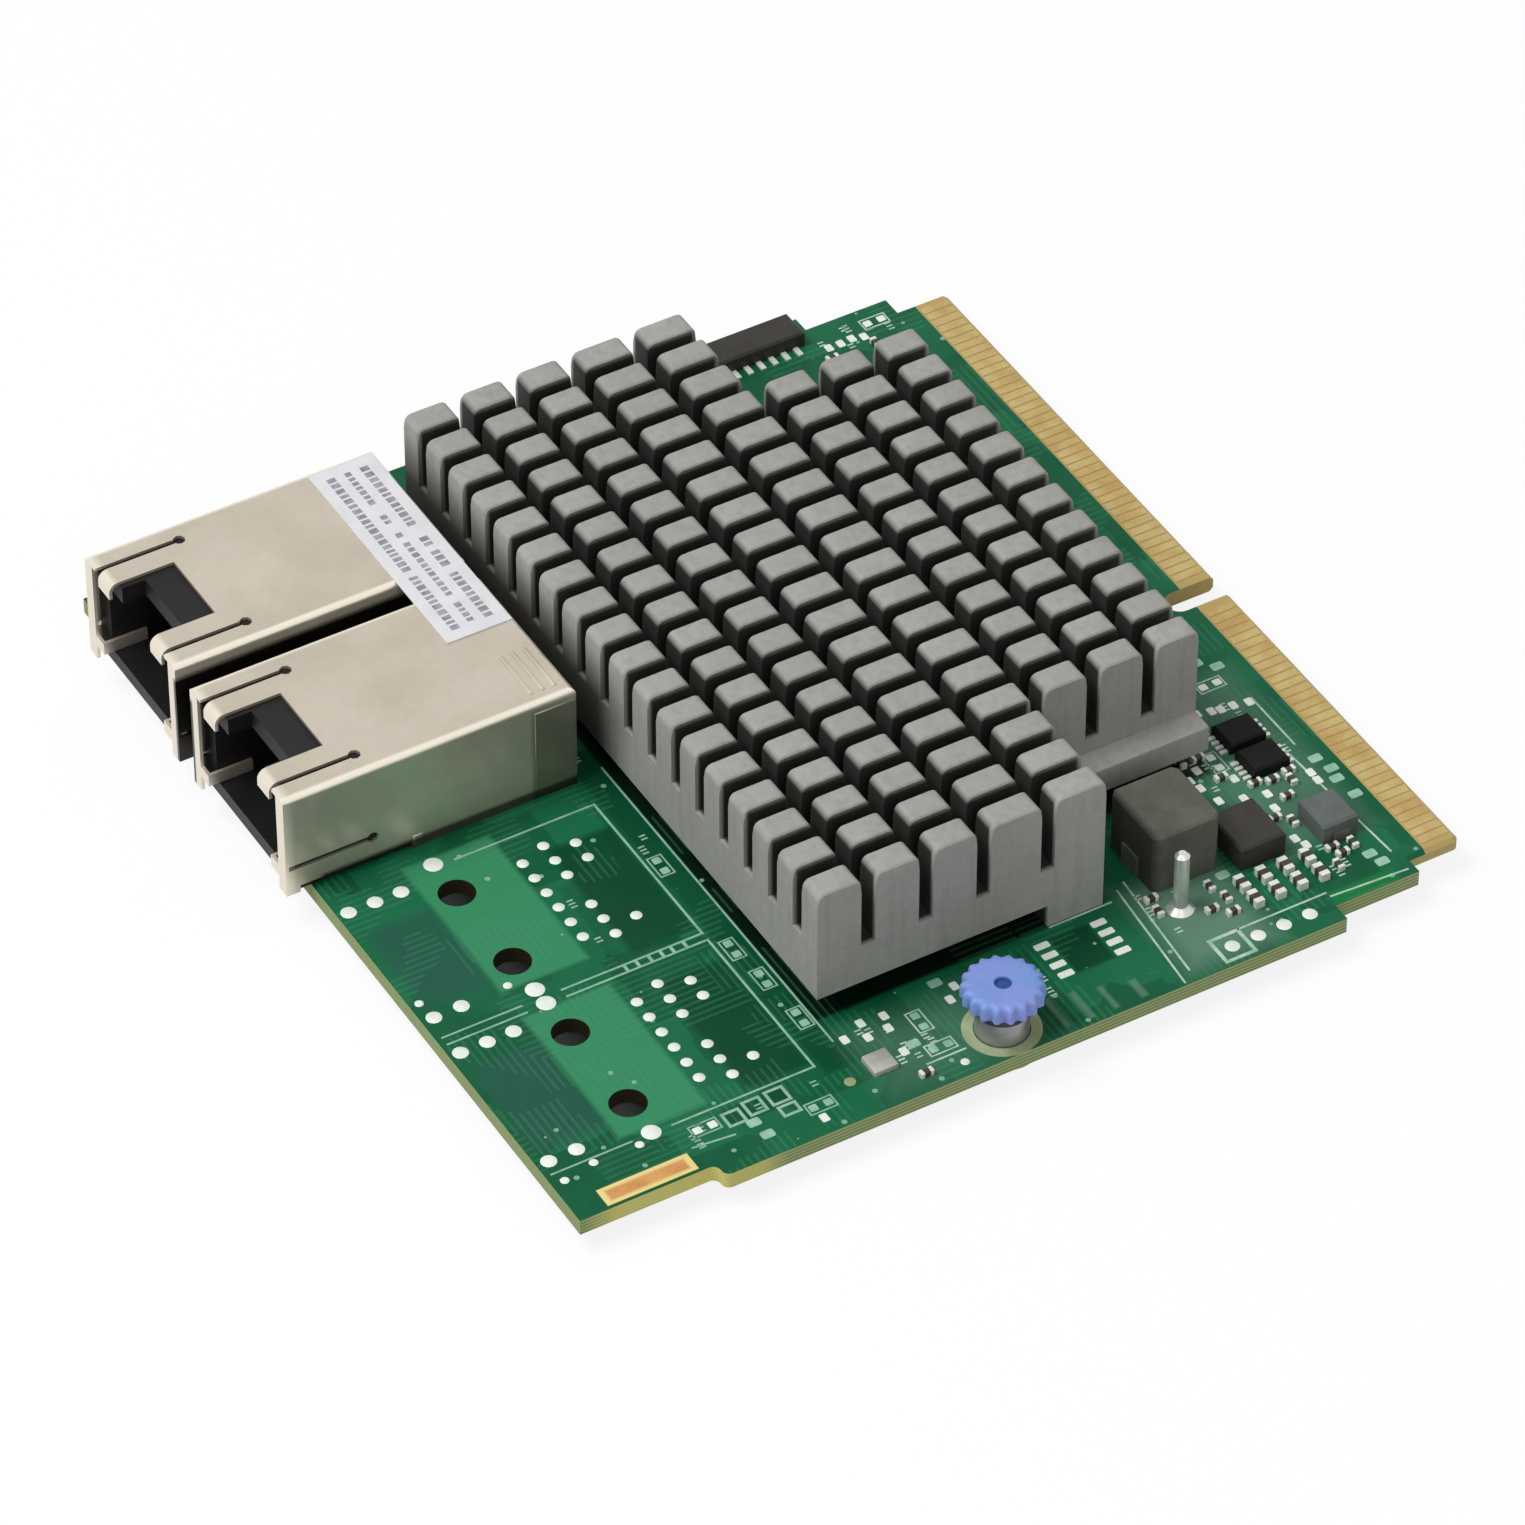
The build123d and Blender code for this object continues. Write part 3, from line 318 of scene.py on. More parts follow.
# Jack shields: from a centre line to the end of the flat top, to the rear flap and to the gap
FLAT_HALF, FLAP_HALF, GAP_HALF = 7.75, 7.6, 7.9
# A line in front of both jacks
AHEAD = -4.0
# Cream tin of the painted highlights on the shields' bends, front and upper gap walls
HIGHLIGHT_TIN = srgb(246, 238, 220)
# Earth strips: their middle lines, and the half width and the ends of the orange part
STRIPS, STRIP_HALF, STRIP_ENDS = (-42.2, 42.2), 0.6, (3.3, 10.6)
DIMPLE_HALF = 0.8


def shield_shade(t, colour):
    """Painted highlights on the bends, the front and the top of the gap walls, a darker rear flap,
    painted shade in the gap between the jacks, and a painted shadow at the foot.
    """
    spot = t.spot()
    y, z = spot[1], spot[2]
    front, top = shield_low[1], shield_high[2]
    flats = []
    for jack in JACKS[:2]:
        flats.append(t.patch((jack - FLAT_HALF, AHEAD), (jack + FLAT_HALF, shield_back - 0.4), 0.3))
    bend = t.rest(t.math("MAXIMUM", *flats))
    # Painted highlights: along the bends at the top, then along the front
    colour = t.mix(t.times(bend, t.fade(z, top, -0.6, -0.2)), colour, HIGHLIGHT_TIN)
    colour = t.mix(t.times(t.fade(y, front, 1.0, 0.2), 0.75), colour, HIGHLIGHT_TIN)
    left, right = JACKS[1] + FLAP_HALF, JACKS[1] + 9.0
    flap = t.patch((left, shield_back - 4.2), (right, shield_back + 0.3), 0.5)
    colour = t.mix(t.times(flap, t.fade(z, top, -0.5, -1.3), 0.6), colour, srgb(66, 62, 46))
    gap = t.patch((JACKS[0] + GAP_HALF, AHEAD), (JACKS[1] - GAP_HALF, shield_back + 1.0), 0.2)
    # Painted highlight at the top of the gap walls, then painted shade lower down in the gap between the
    # jacks
    colour = t.mix(t.times(gap, t.fade(z, top, -1.5, -1.0)), colour, HIGHLIGHT_TIN)
    colour = t.mix(t.times(gap, t.fade(z, top, -1.1, -1.7)), colour, srgb(34, 30, 25))
    # Painted shadow along the foot, where the shield meets the board
    foot = t.times(t.fade(z, TOP, 1.2, 0.8), t.fade(y, front, 3.0, 3.6))
    return t.mix(t.times(foot, 0.85), colour, srgb(22, 26, 18))


def slot_shade(t, colour):
    """Faint upright streaks, a painted shadow on the front wall beside the jacks, and painted shade down
    the slots and over the fins' rounded tops.
    """
    inset = 0.35
    wide = (on_board(*sink_low[:2]), on_board(sink_high[0], wide_rear))
    narrow = (on_board(narrow_x0, sink_low[1]), on_board(narrow_x1, sink_high[1]))
    inside = []
    for low, high in (wide, narrow):
        low = (low[0] + inset, low[1] + inset)
        high = (high[0] - inset, high[1] - inset)
        inside.append(t.patch(low, high, 0.3))
    x, y, z = t.spot()
    # Painted shade in the slots, reaching up over the rounded tops of the fins
    dark = t.times(t.math("MAXIMUM", *inside), t.rest(t.fade(z, sink_top, -0.65, -0.05)), 0.93)
    # Painted shadow on the front wall, beside and behind the jacks
    wall = t.times(t.fade(x, 0.0, 3.0, -3.0), t.fade(y, sink_low[1], 0.6, 0.1))
    shadow = t.times(wall, t.fade(z, sink_top, -1.5, -6.5), 0.93)
    stretch = t.add("ShaderNodeVectorMath", {0: t.place(), 1: (1.0, 1.0, 0.06)}, operation="MULTIPLY")
    streak = t.ramp(t.noise(stretch.outputs[0], 1400.0, 2.0), 0.48, 0.78)
    colour = t.mix(t.times(streak, 0.4), colour, srgb(136, 135, 129))
    colour = t.mix(shadow, colour, srgb(38, 35, 31))
    return t.mix(dark, colour, srgb(26, 25, 23))


def strip_shade(t, colour):
    """An orange middle on each earth strip inside a pale border."""
    near, far = STRIP_ENDS
    middles = [t.patch((x - STRIP_HALF, near), (x + STRIP_HALF, far), 0.3) for x in STRIPS]
    return t.mix(t.math("MAXIMUM", *middles), srgb(236, 216, 140), colour)


def choke_shade(t, colour):
    """Painted shadow on the choke's front side, which stands close to the heat sink."""
    near = t.rest(t.fade(t.spot()[1], choke_low[1], 0.05, 0.7))
    return t.mix(t.times(near, 0.7), colour, srgb(22, 20, 18))


def print_shade(t, colour):
    """Print on the front of the board, round the two empty jack places, is fainter."""
    front = t.patch((-4.0, -1.0), (44.5, 28.6), 0.5)
    return t.mix(t.times(front, 0.55), colour, srgb(104, 166, 134))


def dimple_shade(t, colour):
    """Painted shade, a deeper blue, in the small hole on top of the knob."""
    x, y = on_board(knob_x, knob_y)
    middle = t.patch((x - DIMPLE_HALF, y - DIMPLE_HALF), (x + DIMPLE_HALF, y + DIMPLE_HALF), 0.3)
    deep = t.rest(t.fade(t.spot()[2], knob_high[2], -0.3, -0.1))
    return t.mix(t.times(middle, deep), colour, srgb(34, 74, 140))


# Materials

tin_plate = paint(
    "tinned_sheet", srgb(206, 196, 180), srgb(190, 179, 162), scale=160, amount=0.6, speckle=0.10,
    rough=0.30, spread=0.14, metal=0.6, grain=5200, strength=0.10, smudge=110, shade=shield_shade,
)
silver = paint(
    "silver_solder", srgb(228, 228, 222), srgb(200, 202, 196), scale=700, amount=0.6, speckle=0.12,
    rough=0.28, spread=0.16, metal=0.7, grain=5000, strength=0.12,
)
chip_end = paint(
    "tinned_chip_end", srgb(240, 242, 236), srgb(210, 214, 206), scale=900, amount=0.6, speckle=0.10,
    rough=0.36, spread=0.16, metal=0.15, grain=5000, strength=0.12,
)
# Dull tin, darkened further as painted shade for the choke's terminals on its shaded front side; also on
# the tantalum's ends
dull_and_shaded_tin = paint(
    "dull_and_shaded_tin", srgb(104, 102, 96), srgb(84, 82, 77), scale=700, amount=0.6, speckle=0.2,
    rough=0.5, spread=0.16, metal=0.4, grain=5000, strength=0.15,
)
pad_tin = paint(
    "tinned_pad", srgb(244, 249, 242), srgb(216, 230, 216), scale=900, amount=0.6, speckle=0.10,
    rough=0.42, spread=0.15, metal=0.05, grain=5000, strength=0.10,
)
ring_tin = paint(
    "tinned_ring", srgb(186, 200, 164), srgb(150, 158, 112), scale=260, amount=0.9, speckle=0.15,
    rough=0.42, spread=0.15, metal=0.2, grain=5000, strength=0.10,
)
sleeve_metal = paint(
    "sleeve_metal", srgb(166, 164, 168), srgb(128, 126, 132), scale=420, amount=0.8, speckle=0.15,
    rough=0.34, spread=0.16, metal=0.75, grain=4200, strength=0.12,
)
can_metal = paint(
    "can_metal", srgb(186, 188, 176), srgb(150, 156, 142), scale=420, amount=0.8, speckle=0.2,
    rough=0.45, spread=0.14, metal=0.2, grain=5000, strength=0.12,
)
worn_pad = paint(
    "worn_pad", srgb(160, 204, 180), srgb(120, 174, 148), scale=900, amount=0.7, speckle=0.2,
    rough=0.45, spread=0.14, metal=0.05, grain=5000, strength=0.10,
)
gold = paint(
    "gold_plating", srgb(202, 182, 122), srgb(188, 152, 90), scale=420, amount=0.9, speckle=0.2,
    rough=0.36, spread=0.16, metal=0.6, grain=3800, strength=0.18,
)
strip_gold = paint(
    "gold_strip", srgb(222, 164, 96), srgb(198, 136, 74), scale=420, amount=0.9, speckle=0.25,
    rough=0.40, spread=0.15, metal=0.35, grain=3800, strength=0.18, shade=strip_shade,
)
wire_gold = paint(
    "contact_wire", srgb(226, 190, 110), srgb(200, 160, 84), scale=600, amount=0.5, speckle=0.1,
    rough=0.24, spread=0.1, metal=0.95, grain=5000, strength=0.08,
)
black_plastic = paint(
    "black_moulding", srgb(20, 19, 20), srgb(30, 29, 29), scale=260, amount=0.5, speckle=0.25,
    rough=0.46, spread=0.12, grain=7000, strength=0.22, specular=0.25,
)
chip_black = paint(
    "chip_moulding", srgb(15, 17, 15), srgb(25, 27, 24), scale=500, amount=0.5, speckle=0.3,
    rough=0.56, spread=0.1, grain=9000, strength=0.3, specular=0.12,
)
ferrite = paint(
    "ferrite_moulding", srgb(98, 98, 90), srgb(80, 79, 72), scale=420, amount=0.7, speckle=0.4,
    rough=0.62, spread=0.1, grain=6000, strength=0.4, specular=0.25, shade=choke_shade,
)
brown_block = paint(
    "regulator_moulding", srgb(58, 55, 50), srgb(46, 43, 39), scale=420, amount=0.6, speckle=0.4,
    rough=0.55, spread=0.1, grain=7000, strength=0.35, specular=0.25,
)
grey_resin = paint(
    "grey_resin", srgb(98, 105, 101), srgb(84, 90, 88), scale=500, amount=0.5, speckle=0.25,
    rough=0.48, spread=0.1, grain=7000, strength=0.2, specular=0.3,
)
ceramic = paint(
    "ceramic_body", srgb(74, 64, 52), srgb(54, 47, 39), scale=900, amount=0.6, speckle=0.3,
    rough=0.45, spread=0.1, grain=7000, strength=0.2, specular=0.3,
)
paper = paint(
    "label_paper", srgb(230, 230, 232), srgb(212, 213, 216), scale=500, amount=0.5, speckle=0.06,
    rough=0.58, spread=0.1, grain=6000, strength=0.15, smudge=140, specular=0.3,
)
ink = paint(
    "label_ink", srgb(132, 130, 142), srgb(172, 171, 182), scale=1500, amount=0.9, speckle=0.3,
    rough=0.6, spread=0.05, grain=6000, strength=0.05,
)
silk = paint(
    "silkscreen_ink", srgb(196, 220, 204), srgb(140, 182, 158), scale=900, amount=0.8, speckle=0.25,
    rough=0.55, spread=0.1, grain=5000, strength=0.1, specular=0.2, shade=print_shade,
)
sink_grey = paint(
    "anodised_grey", srgb(168, 167, 163), srgb(154, 153, 148), scale=140, amount=0.6, speckle=0.25,
    rough=0.60, spread=0.1, grain=4200, strength=0.5, smudge=60, specular=0.25, shade=slot_shade,
)
substrate = paint(
    "controller_substrate_green", srgb(34, 92, 60), srgb(26, 76, 50), scale=300, amount=0.5,
    speckle=0.2, rough=0.4, grain=4000, strength=0.1,
)
lid_metal = paint(
    "controller_lid_nickel", srgb(188, 188, 184), srgb(170, 170, 166), scale=200, amount=0.5,
    speckle=0.1, rough=0.36, metal=0.9, grain=5000, strength=0.1,
)
pad_rubber = paint(
    "thermal_pad_grey", srgb(120, 124, 130), srgb(104, 108, 114), scale=400, amount=0.5, speckle=0.3,
    rough=0.75, grain=3000, strength=0.3,
)
steel = paint(
    "screw_steel", srgb(190, 190, 188), srgb(160, 160, 160), scale=400, amount=0.5, speckle=0.12,
    rough=0.30, spread=0.15, metal=0.95, grain=4000, strength=0.1,
)
blue_plastic = paint(
    "blue_moulding", srgb(114, 152, 214), srgb(142, 152, 226), scale=220, amount=0.9, speckle=0.12,
    rough=0.44, spread=0.12, grain=5200, strength=0.22, shade=dimple_shade,
)

# Areas of the board seen through the mask, and a painted shadow under the heat sink: two corners,
# softness, strength and colour
BRIGHT, DEEP = srgb(56, 140, 97), srgb(4, 66, 40)
TEAL, PALE = srgb(34, 88, 72), srgb(112, 146, 128)
LIVELY, SHADOW = srgb(14, 122, 60), srgb(7, 17, 12)
sink_left, sink_front = on_board(*sink_low[:2])
sink_right, sink_rear = on_board(*sink_high[:2])
sink_step = on_board(0, wide_rear)[1]
# The rear shadow is this much narrower on each side
SHADOW_IN = 9.0
AREAS = (
    ((0.3, 7.3), (17.4, 15.6), 0.5, 0.95, BRIGHT),
    ((20.9, 7.3), (37.0, 15.5), 0.5, 0.95, BRIGHT),
    ((5.6, 1.0), (16.0, 7.1), 1.2, 0.85, TEAL),
    ((23.8, 1.0), (35.2, 7.1), 1.2, 0.85, TEAL),
    ((4.4, 18.9), (18.9, 25.0), 0.8, 0.85, DEEP),
    ((22.9, 18.9), (37.3, 25.0), 0.8, 0.85, DEEP),
    ((-5.0, 25.5), (39.0, 28.4), 0.6, 0.7, DEEP),
    ((34.7, 49.4), (39.3, 53.1), 0.4, 0.95, DEEP),
    ((38.4, 15.8), (40.4, 21.5), 0.4, 0.75, DEEP),
    ((35.0, 42.6), (44.3, 47.0), 1.0, 0.6, DEEP),
    ((33.0, 57.6), (43.8, 66.0), 3.0, 0.7, PALE),
    ((14.0, 71.0), (36.0, 80.0), 3.0, 0.4, PALE),
    ((36.0, 29.0), (44.0, 42.0), 4.0, 0.3, PALE),
    ((40.6, 45.2), (44.3, 45.7), 0.3, 0.5, PALE),
    ((41.0, 47.4), (44.4, 48.0), 0.3, 0.5, PALE),
    ((41.6, 49.8), (44.4, 50.3), 0.3, 0.5, PALE),
    ((42.2, 52.4), (44.4, 53.1), 0.3, 0.5, PALE),
    ((41.7, 72.2), (44.0, 78.6), 0.5, 0.85, LIVELY),
    # Painted shadow on the board under the heat sink
    ((sink_left, sink_front), (sink_right, sink_step), 0.4, 0.95, SHADOW),
    ((sink_left + SHADOW_IN, sink_step), (sink_right - SHADOW_IN, sink_rear), 0.6, 0.9, SHADOW),
)

# How far the bare laminate and the gold-coloured edge reach in from the rear
BARE_REAR, TONGUE_REAR = 3.4, 5.0


def copper_areas(t, place):
    """Copper areas with straight edges, and a soft unevenness over them, as a mask."""
    chances, _ = t.cells(place, 120.0, distance="CHEBYCHEV")
    areas = t.times(t.ramp(chances[2], 0.3, 0.7), 0.65)
    cloud = t.times(t.ramp(t.noise(place, 150.0, 4.0), 0.42, 0.6), 0.35)
    return t.math("ADD", areas, cloud)


def copper_runs(t, place):
    """Zones of parallel runs, some along X and some along Y, as a mask."""
    chances, _ = t.cells(place, 210.0, distance="CHEBYCHEV")
    lines = [t.ramp(t.bands(place, 470.0, axis), 0.66, 0.8) for axis in "XY"]
    turned = t.math("GREATER_THAN", chances[0], 0.5)
    chosen = t.add("ShaderNodeMix", {0: turned, 2: lines[0], 3: lines[1]}, data_type="FLOAT")
    return t.times(chosen.outputs[0], t.math("GREATER_THAN", chances[1], 0.6))


def plated_dots(t, place):
    """Plated dots where layers join, as a mask."""
    chances, away = t.cells(place, 560.0)
    return t.times(t.math("LESS_THAN", away, 0.14), t.math("GREATER_THAN", chances[0], 0.72))


def sawn_edge(t, place, y):
    """The sawn edge: layers of laminate, golden at the tongue, with a painted highlight at the front
    corner and painted shade in the holes.
    """
    layers = t.bands(place, 900.0, "Z", 0.6)
    laminate = t.mix(layers, srgb(176, 188, 136), srgb(120, 140, 90))
    tongue = t.math("GREATER_THAN", y, REAR - TONGUE_REAR * MM)
    laminate = t.mix(tongue, laminate, srgb(200, 180, 118))
    # Painted highlight, pale yellow, on the edge at the front right corner
    corner = t.times(t.patch((40.5, 2.0), (46.0, 17.0), 3.0), 0.75)
    laminate = t.mix(corner, laminate, srgb(232, 222, 128))
    # Painted shade on the walls of the holes
    holes = t.patch((0.0, 2.0), (38.0, 22.0), 0.5)
    return t.mix(holes, laminate, srgb(40, 34, 22))


def mask_material():
    """Green solder mask: copper runs and areas under it, a painted shadow under the heat sink, plated
    dots, and a laminate edge with a painted highlight and painted shade.
    """
    made, t, shader = material("green_solder_mask")
    shader.inputs["Specular IOR Level"].default_value = 0.12
    place, y = t.place(), t.spot()[1]
    normal = t.add("ShaderNodeNewGeometry").outputs["True Normal"]
    rise = t.add("ShaderNodeSeparateXYZ", {0: normal}).outputs[2]
    upward = t.math("GREATER_THAN", rise, 0.5)
    edge = t.math("LESS_THAN", t.math("ABSOLUTE", rise), 0.5)
    colour = t.mix(copper_areas(t, place), srgb(10, 84, 53), srgb(26, 108, 72))
    for low, high, soft, strength, shade in AREAS:
        colour = t.mix(t.times(t.patch(low, high, soft), upward, strength), colour, shade)
    runs, dots = copper_runs(t, place), plated_dots(t, place)
    colour = t.mix(t.times(runs, 0.2), colour, srgb(78, 150, 112))
    colour = t.mix(t.times(dots, 0.75), colour, srgb(150, 192, 164))
    bare = t.math("GREATER_THAN", y, REAR - BARE_REAR * MM)
    colour = t.mix(bare, colour, srgb(190, 166, 106))
    t.feed(shader.inputs["Base Color"], t.mix(edge, colour, sawn_edge(t, place, y)))
    gloss = t.math("ADD", t.times(t.use(smudge_group, 90), 0.16), 0.34)
    t.feed(shader.inputs["Roughness"], t.math("ADD", gloss, t.times(edge, 0.3)))
    height = t.math("ADD", t.times(runs, 0.5), dots)
    relief = t.add("ShaderNodeBump", {"Strength": 0.35, "Distance": 0.03 * MM, "Height": height})
    t.feed(shader.inputs["Normal"], relief.outputs[0])
    return made


solder_mask = mask_material()

# Finishes of the CAD nodes that keep their shape
finishes = {
    "circuit_board": solder_mask,
    "edge_contacts_top": gold,
    "edge_contacts_bottom": gold,
    "ground_strips": strip_gold,
    "jack_label": paper,
    "controller_substrate": substrate,
    "controller_lid": lid_metal,
    "thermal_pad": pad_rubber,
    "power_inductor": ferrite,
    "power_inductor_terminals": dull_and_shaded_tin,
    "metal_post": silver,
    "regulator_block": brown_block,
    "mosfets": chip_black,
    "mosfet_leads": chip_end,
    "tantalum_capacitor": grey_resin,
    "tantalum_ends": dull_and_shaded_tin,
    "chip_capacitors": ceramic,
    "chip_capacitor_ends": chip_end,
    "underside_capacitors": ceramic,
    "underside_capacitor_ends": chip_end,
    "sideband_connector": brown_block,
    "sideband_contacts": chip_end,
    "thumbscrew_ferrule": sleeve_metal,
    "thumbscrew_screw": steel,
}
for number in (1, 2):
    finishes[f"jack_{number}_shield"] = tin_plate
    finishes[f"jack_{number}_housing"] = black_plastic
    finishes[f"jack_{number}_contacts"] = wire_gold
for name, finish in finishes.items():
    nodes[name].data.materials.clear()
    nodes[name].data.materials.append(finish)


# Piece helpers


def piece(name, bm, finish, body="board", smooth=0.0):
    """Turns a bmesh in the frame's metres into a piece that rides on a body."""
    bmesh.ops.recalc_face_normals(bm, faces=bm.faces)
    mesh = bpy.data.meshes.new(name)
    bm.to_mesh(mesh)
    bm.free()
    made = bpy.data.objects.new(name, mesh)
    bpy.context.scene.collection.objects.link(made)
    mesh.materials.append(finish)
    if smooth:
        mesh.shade_smooth()
        mesh.set_sharp_from_angle(angle=math.radians(smooth))
    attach(made, body)
    return made


def edges_of(verts):
    """The edges that meet at these vertices."""
    return list(dict.fromkeys(edge for vert in verts for edge in vert.link_edges))


def bevel(bm, edges, by, steps):
    """Rounds edges by so many millimetres."""
    bmesh.ops.bevel(
        bm, geom=list(edges), offset=by * MM, offset_type="OFFSET", segments=steps, profile=0.5,
        affect="EDGES", material=-1, clamp_overlap=True,
    )


def box(bm, low, high):
    """A box between two corners; gives back its vertices."""
    low, high = Vector(low), Vector(high)
    shape = Matrix.Translation((low + high) / 2) @ Matrix.Diagonal((*(high - low), 1))
    return bmesh.ops.create_cube(bm, size=1.0, matrix=shape)["verts"]


def block(bm, low, high, by=0.0, steps=2):
    """A box with all but its bottom edges rounded."""
    made = box(bm, low, high)
    if by:
        middle = (low[2] + high[2]) / 2
        bevel(bm, [e for e in edges_of(made) if max(v.co.z for v in e.verts) > middle], by, steps)


def plate(bm, spot, wide, deep, thick, by):
    """A thin plate with rounded corners, standing on a board point."""
    half = Vector((wide, deep, 0)) * MM / 2
    made = box(bm, spot - half, spot + half + UP * thick * MM)
    bevel(bm, [e for e in edges_of(made) if abs(e.verts[0].co.z - e.verts[1].co.z) > SAME], by, 3)


def line(bm, start, end, wide=0.16, thick=0.02):
    """A printed line between two board points."""
    a, b = at(*start), at(*end)
    run = b - a
    turn = Matrix.Rotation(math.atan2(run.y, run.x), 4, "Z")
    middle = (a + b) / 2 + UP * thick * MM / 2
    size = Matrix.Diagonal((run.length + wide * MM, wide * MM, thick * MM, 1))
    bmesh.ops.create_cube(bm, size=1.0, matrix=Matrix.Translation(middle) @ turn @ size)


def outline(bm, x, y, wide, deep, thick=0.14):
    """A printed rectangle round a board point, whose uprights stop just short of the other lines."""
    short = thick * 1.05
    near, far = y - deep / 2, y + deep / 2
    for side in (-1, 1):
        across, along = x + side * wide / 2, y + side * deep / 2
        line(bm, (x - wide / 2, along), (x + wide / 2, along), thick)
        line(bm, (across, near + short), (across, far - short), thick)


def cone(bm, spot, lower, upper, deep, sides=16):
    """An upright cone stump of two radii round a point, with its middle on the point."""
    return bmesh.ops.create_cone(
        bm, cap_ends=True, segments=sides, radius1=lower * MM, radius2=upper * MM, depth=deep * MM,
        matrix=Matrix.Translation(spot),
    )["verts"]


def pad(bm, x, y, radius, tall=0.08, slope=0.7):
    """Low rounds of solder on both faces of the board."""
    cone(bm, at(x, y, tall / 2), radius, radius * slope, tall)
    cone(bm, below(x, y, tall / 2), radius * slope, radius, tall)


def lathe(bm, foot, profile, sides=64, ribs=0, closed=False):
    """A skin through rings of (radius, rib height, level), capped unless it closes on itself."""
    ways = bmesh.ops.create_circle(bm, cap_ends=False, segments=sides, radius=1.0)["verts"]
    ways = {vert: vert.co.copy() for vert in ways}
    edges = edges_of(ways)
    first = edges
    for step, (radius, rib, level) in enumerate(profile):
        if step:
            new = bmesh.ops.extrude_edge_only(bm, edges=edges)["geom"]
            fresh = {g for g in new if isinstance(g, bmesh.types.BMVert)}
            following = {}
            for vert, way in ways.items():
                partner = next(e.other_vert(vert) for e in vert.link_edges if e.other_vert(vert) in fresh)
                following[partner] = way
            ways = following
            edges = [g for g in new if isinstance(g, bmesh.types.BMEdge) and fresh.issuperset(g.verts)]
        for vert, way in ways.items():
            reach = radius + rib * math.cos(ribs * math.atan2(way.y, way.x))
            vert.co = foot + (way * reach + UP * level) * MM
    if closed:
        bmesh.ops.bridge_loops(bm, edges=first + edges)
    else:
        bmesh.ops.edgeloop_fill(bm, edges=first)
        bmesh.ops.edgeloop_fill(bm, edges=edges)


# Heat sink: rounded fins standing on bars, a slab with flange and feet

# Millimetres: the rounding of a fin's top, and the chamfer at its sawn ends
ROUND, SAWN = 0.7, 0.14
# Metres: the rear flange past the narrow part, under the wide part, and its height
FLANGE_OUT, FLANGE_LAP, FLANGE_TALL = 2.4 * MM, 1.0 * MM, 2.55 * MM
FOOT, FOOT_DEEP = 6.0 * MM, 5.4 * MM
# Bosses for the front screws: in from the sides and the front, up into the slab, and two radii
BOSS_X, BOSS_Y, BOSS_SUNK = 7.0 * MM, 4.5 * MM, 0.5 * MM
BOSS_LOWER, BOSS_UPPER = 2.85, 2.7


def on_fin(stops, value):
    """True if the value lies on a fin and not in a slot."""
    return any(a < value < b for a, b in zip(stops[::2], stops[1::2]))


def raise_to(bm, faces, z, keep=False):
    """Pulls faces up to a level, drops the old ones unless they are kept, and gives back the new."""
    new = bmesh.ops.extrude_face_region(bm, geom=faces)["geom"]
    for vert in (g for g in new if isinstance(g, bmesh.types.BMVert)):
        vert.co.z = z
    if not keep:
        bmesh.ops.delete(bm, geom=[f for f in faces if f.is_valid], context="FACES")
    return [g for g in new if isinstance(g, bmesh.types.BMFace)]


def fin_grid(bm):
    """A flat T of cells with a line at each side of every fin."""
    columns, rows = len(x_stops) - 1, len(y_stops) - 1
    bmesh.ops.create_grid(bm, x_segments=columns, y_segments=rows, size=0.5)
    for vert in bm.verts:
        column = round((vert.co.x + 0.5) * columns)
        row = round((vert.co.y + 0.5) * rows)
        vert.co = (x_stops[column], y_stops[row], sink_bottom)
    outside = []
    for face in bm.faces:
        middle = face.calc_center_median()
        if middle.y > wide_rear and not narrow_x0 < middle.x < narrow_x1:
            outside.append(face)
    bmesh.ops.delete(bm, geom=outside, context="FACES")


def round_tops(bm, tops):
    """Rounds the long edges of the fins' tops, then takes the edge off their sawn ends."""
    long = [e for f in tops for e in f.edges if abs(e.verts[0].co.y - e.verts[1].co.y) < SAME]
    bevel(bm, long, ROUND, 4)
    bm.normal_update()
    sawn = []
    for edge in bm.edges:
        if min(vert.co.z for vert in edge.verts) > sink_top - (ROUND + 0.01) * MM:
            ends = sum(abs(face.normal.x) > 0.9 for face in edge.link_faces)
            if ends == 1:
                sawn.append(edge)
    bevel(bm, sawn, SAWN, 1)


bm = bmesh.new()
fin_grid(bm)
slab = raise_to(bm, bm.faces[:], sink_top - COLUMN_SLOT * MM, keep=True)
bars = [f for f in slab if on_fin(y_stops, f.calc_center_median().y)]
bars = raise_to(bm, bars, sink_top - ROW_SLOT * MM)
tops = [f for f in bars if on_fin(x_stops, f.calc_center_median().x)]
round_tops(bm, raise_to(bm, tops, sink_top))
flange_low = (narrow_x0 - FLANGE_OUT, wide_rear - FLANGE_LAP, sink_bottom)
flange_high = (narrow_x1 + FLANGE_OUT, sink_high[1], sink_bottom + FLANGE_TALL)
block(bm, flange_low, flange_high, 0.3)
for x in (sink_low[0], sink_high[0] - FOOT):
    box(bm, (x, wide_rear - FOOT_DEEP, TOP), (x + FOOT, wide_rear, sink_bottom))
boss_y = sink_low[1] + BOSS_Y
boss_high = sink_bottom + BOSS_SUNK - TOP
bosses = (sink_low[0] + BOSS_X, sink_high[0] - BOSS_X)
for x in bosses:
    cone(bm, Vector((x, boss_y, TOP + boss_high / 2)), BOSS_LOWER, BOSS_UPPER, boss_high / MM, 32)
fins = piece("heat_sink_fins", bm, sink_grey, smooth=35)
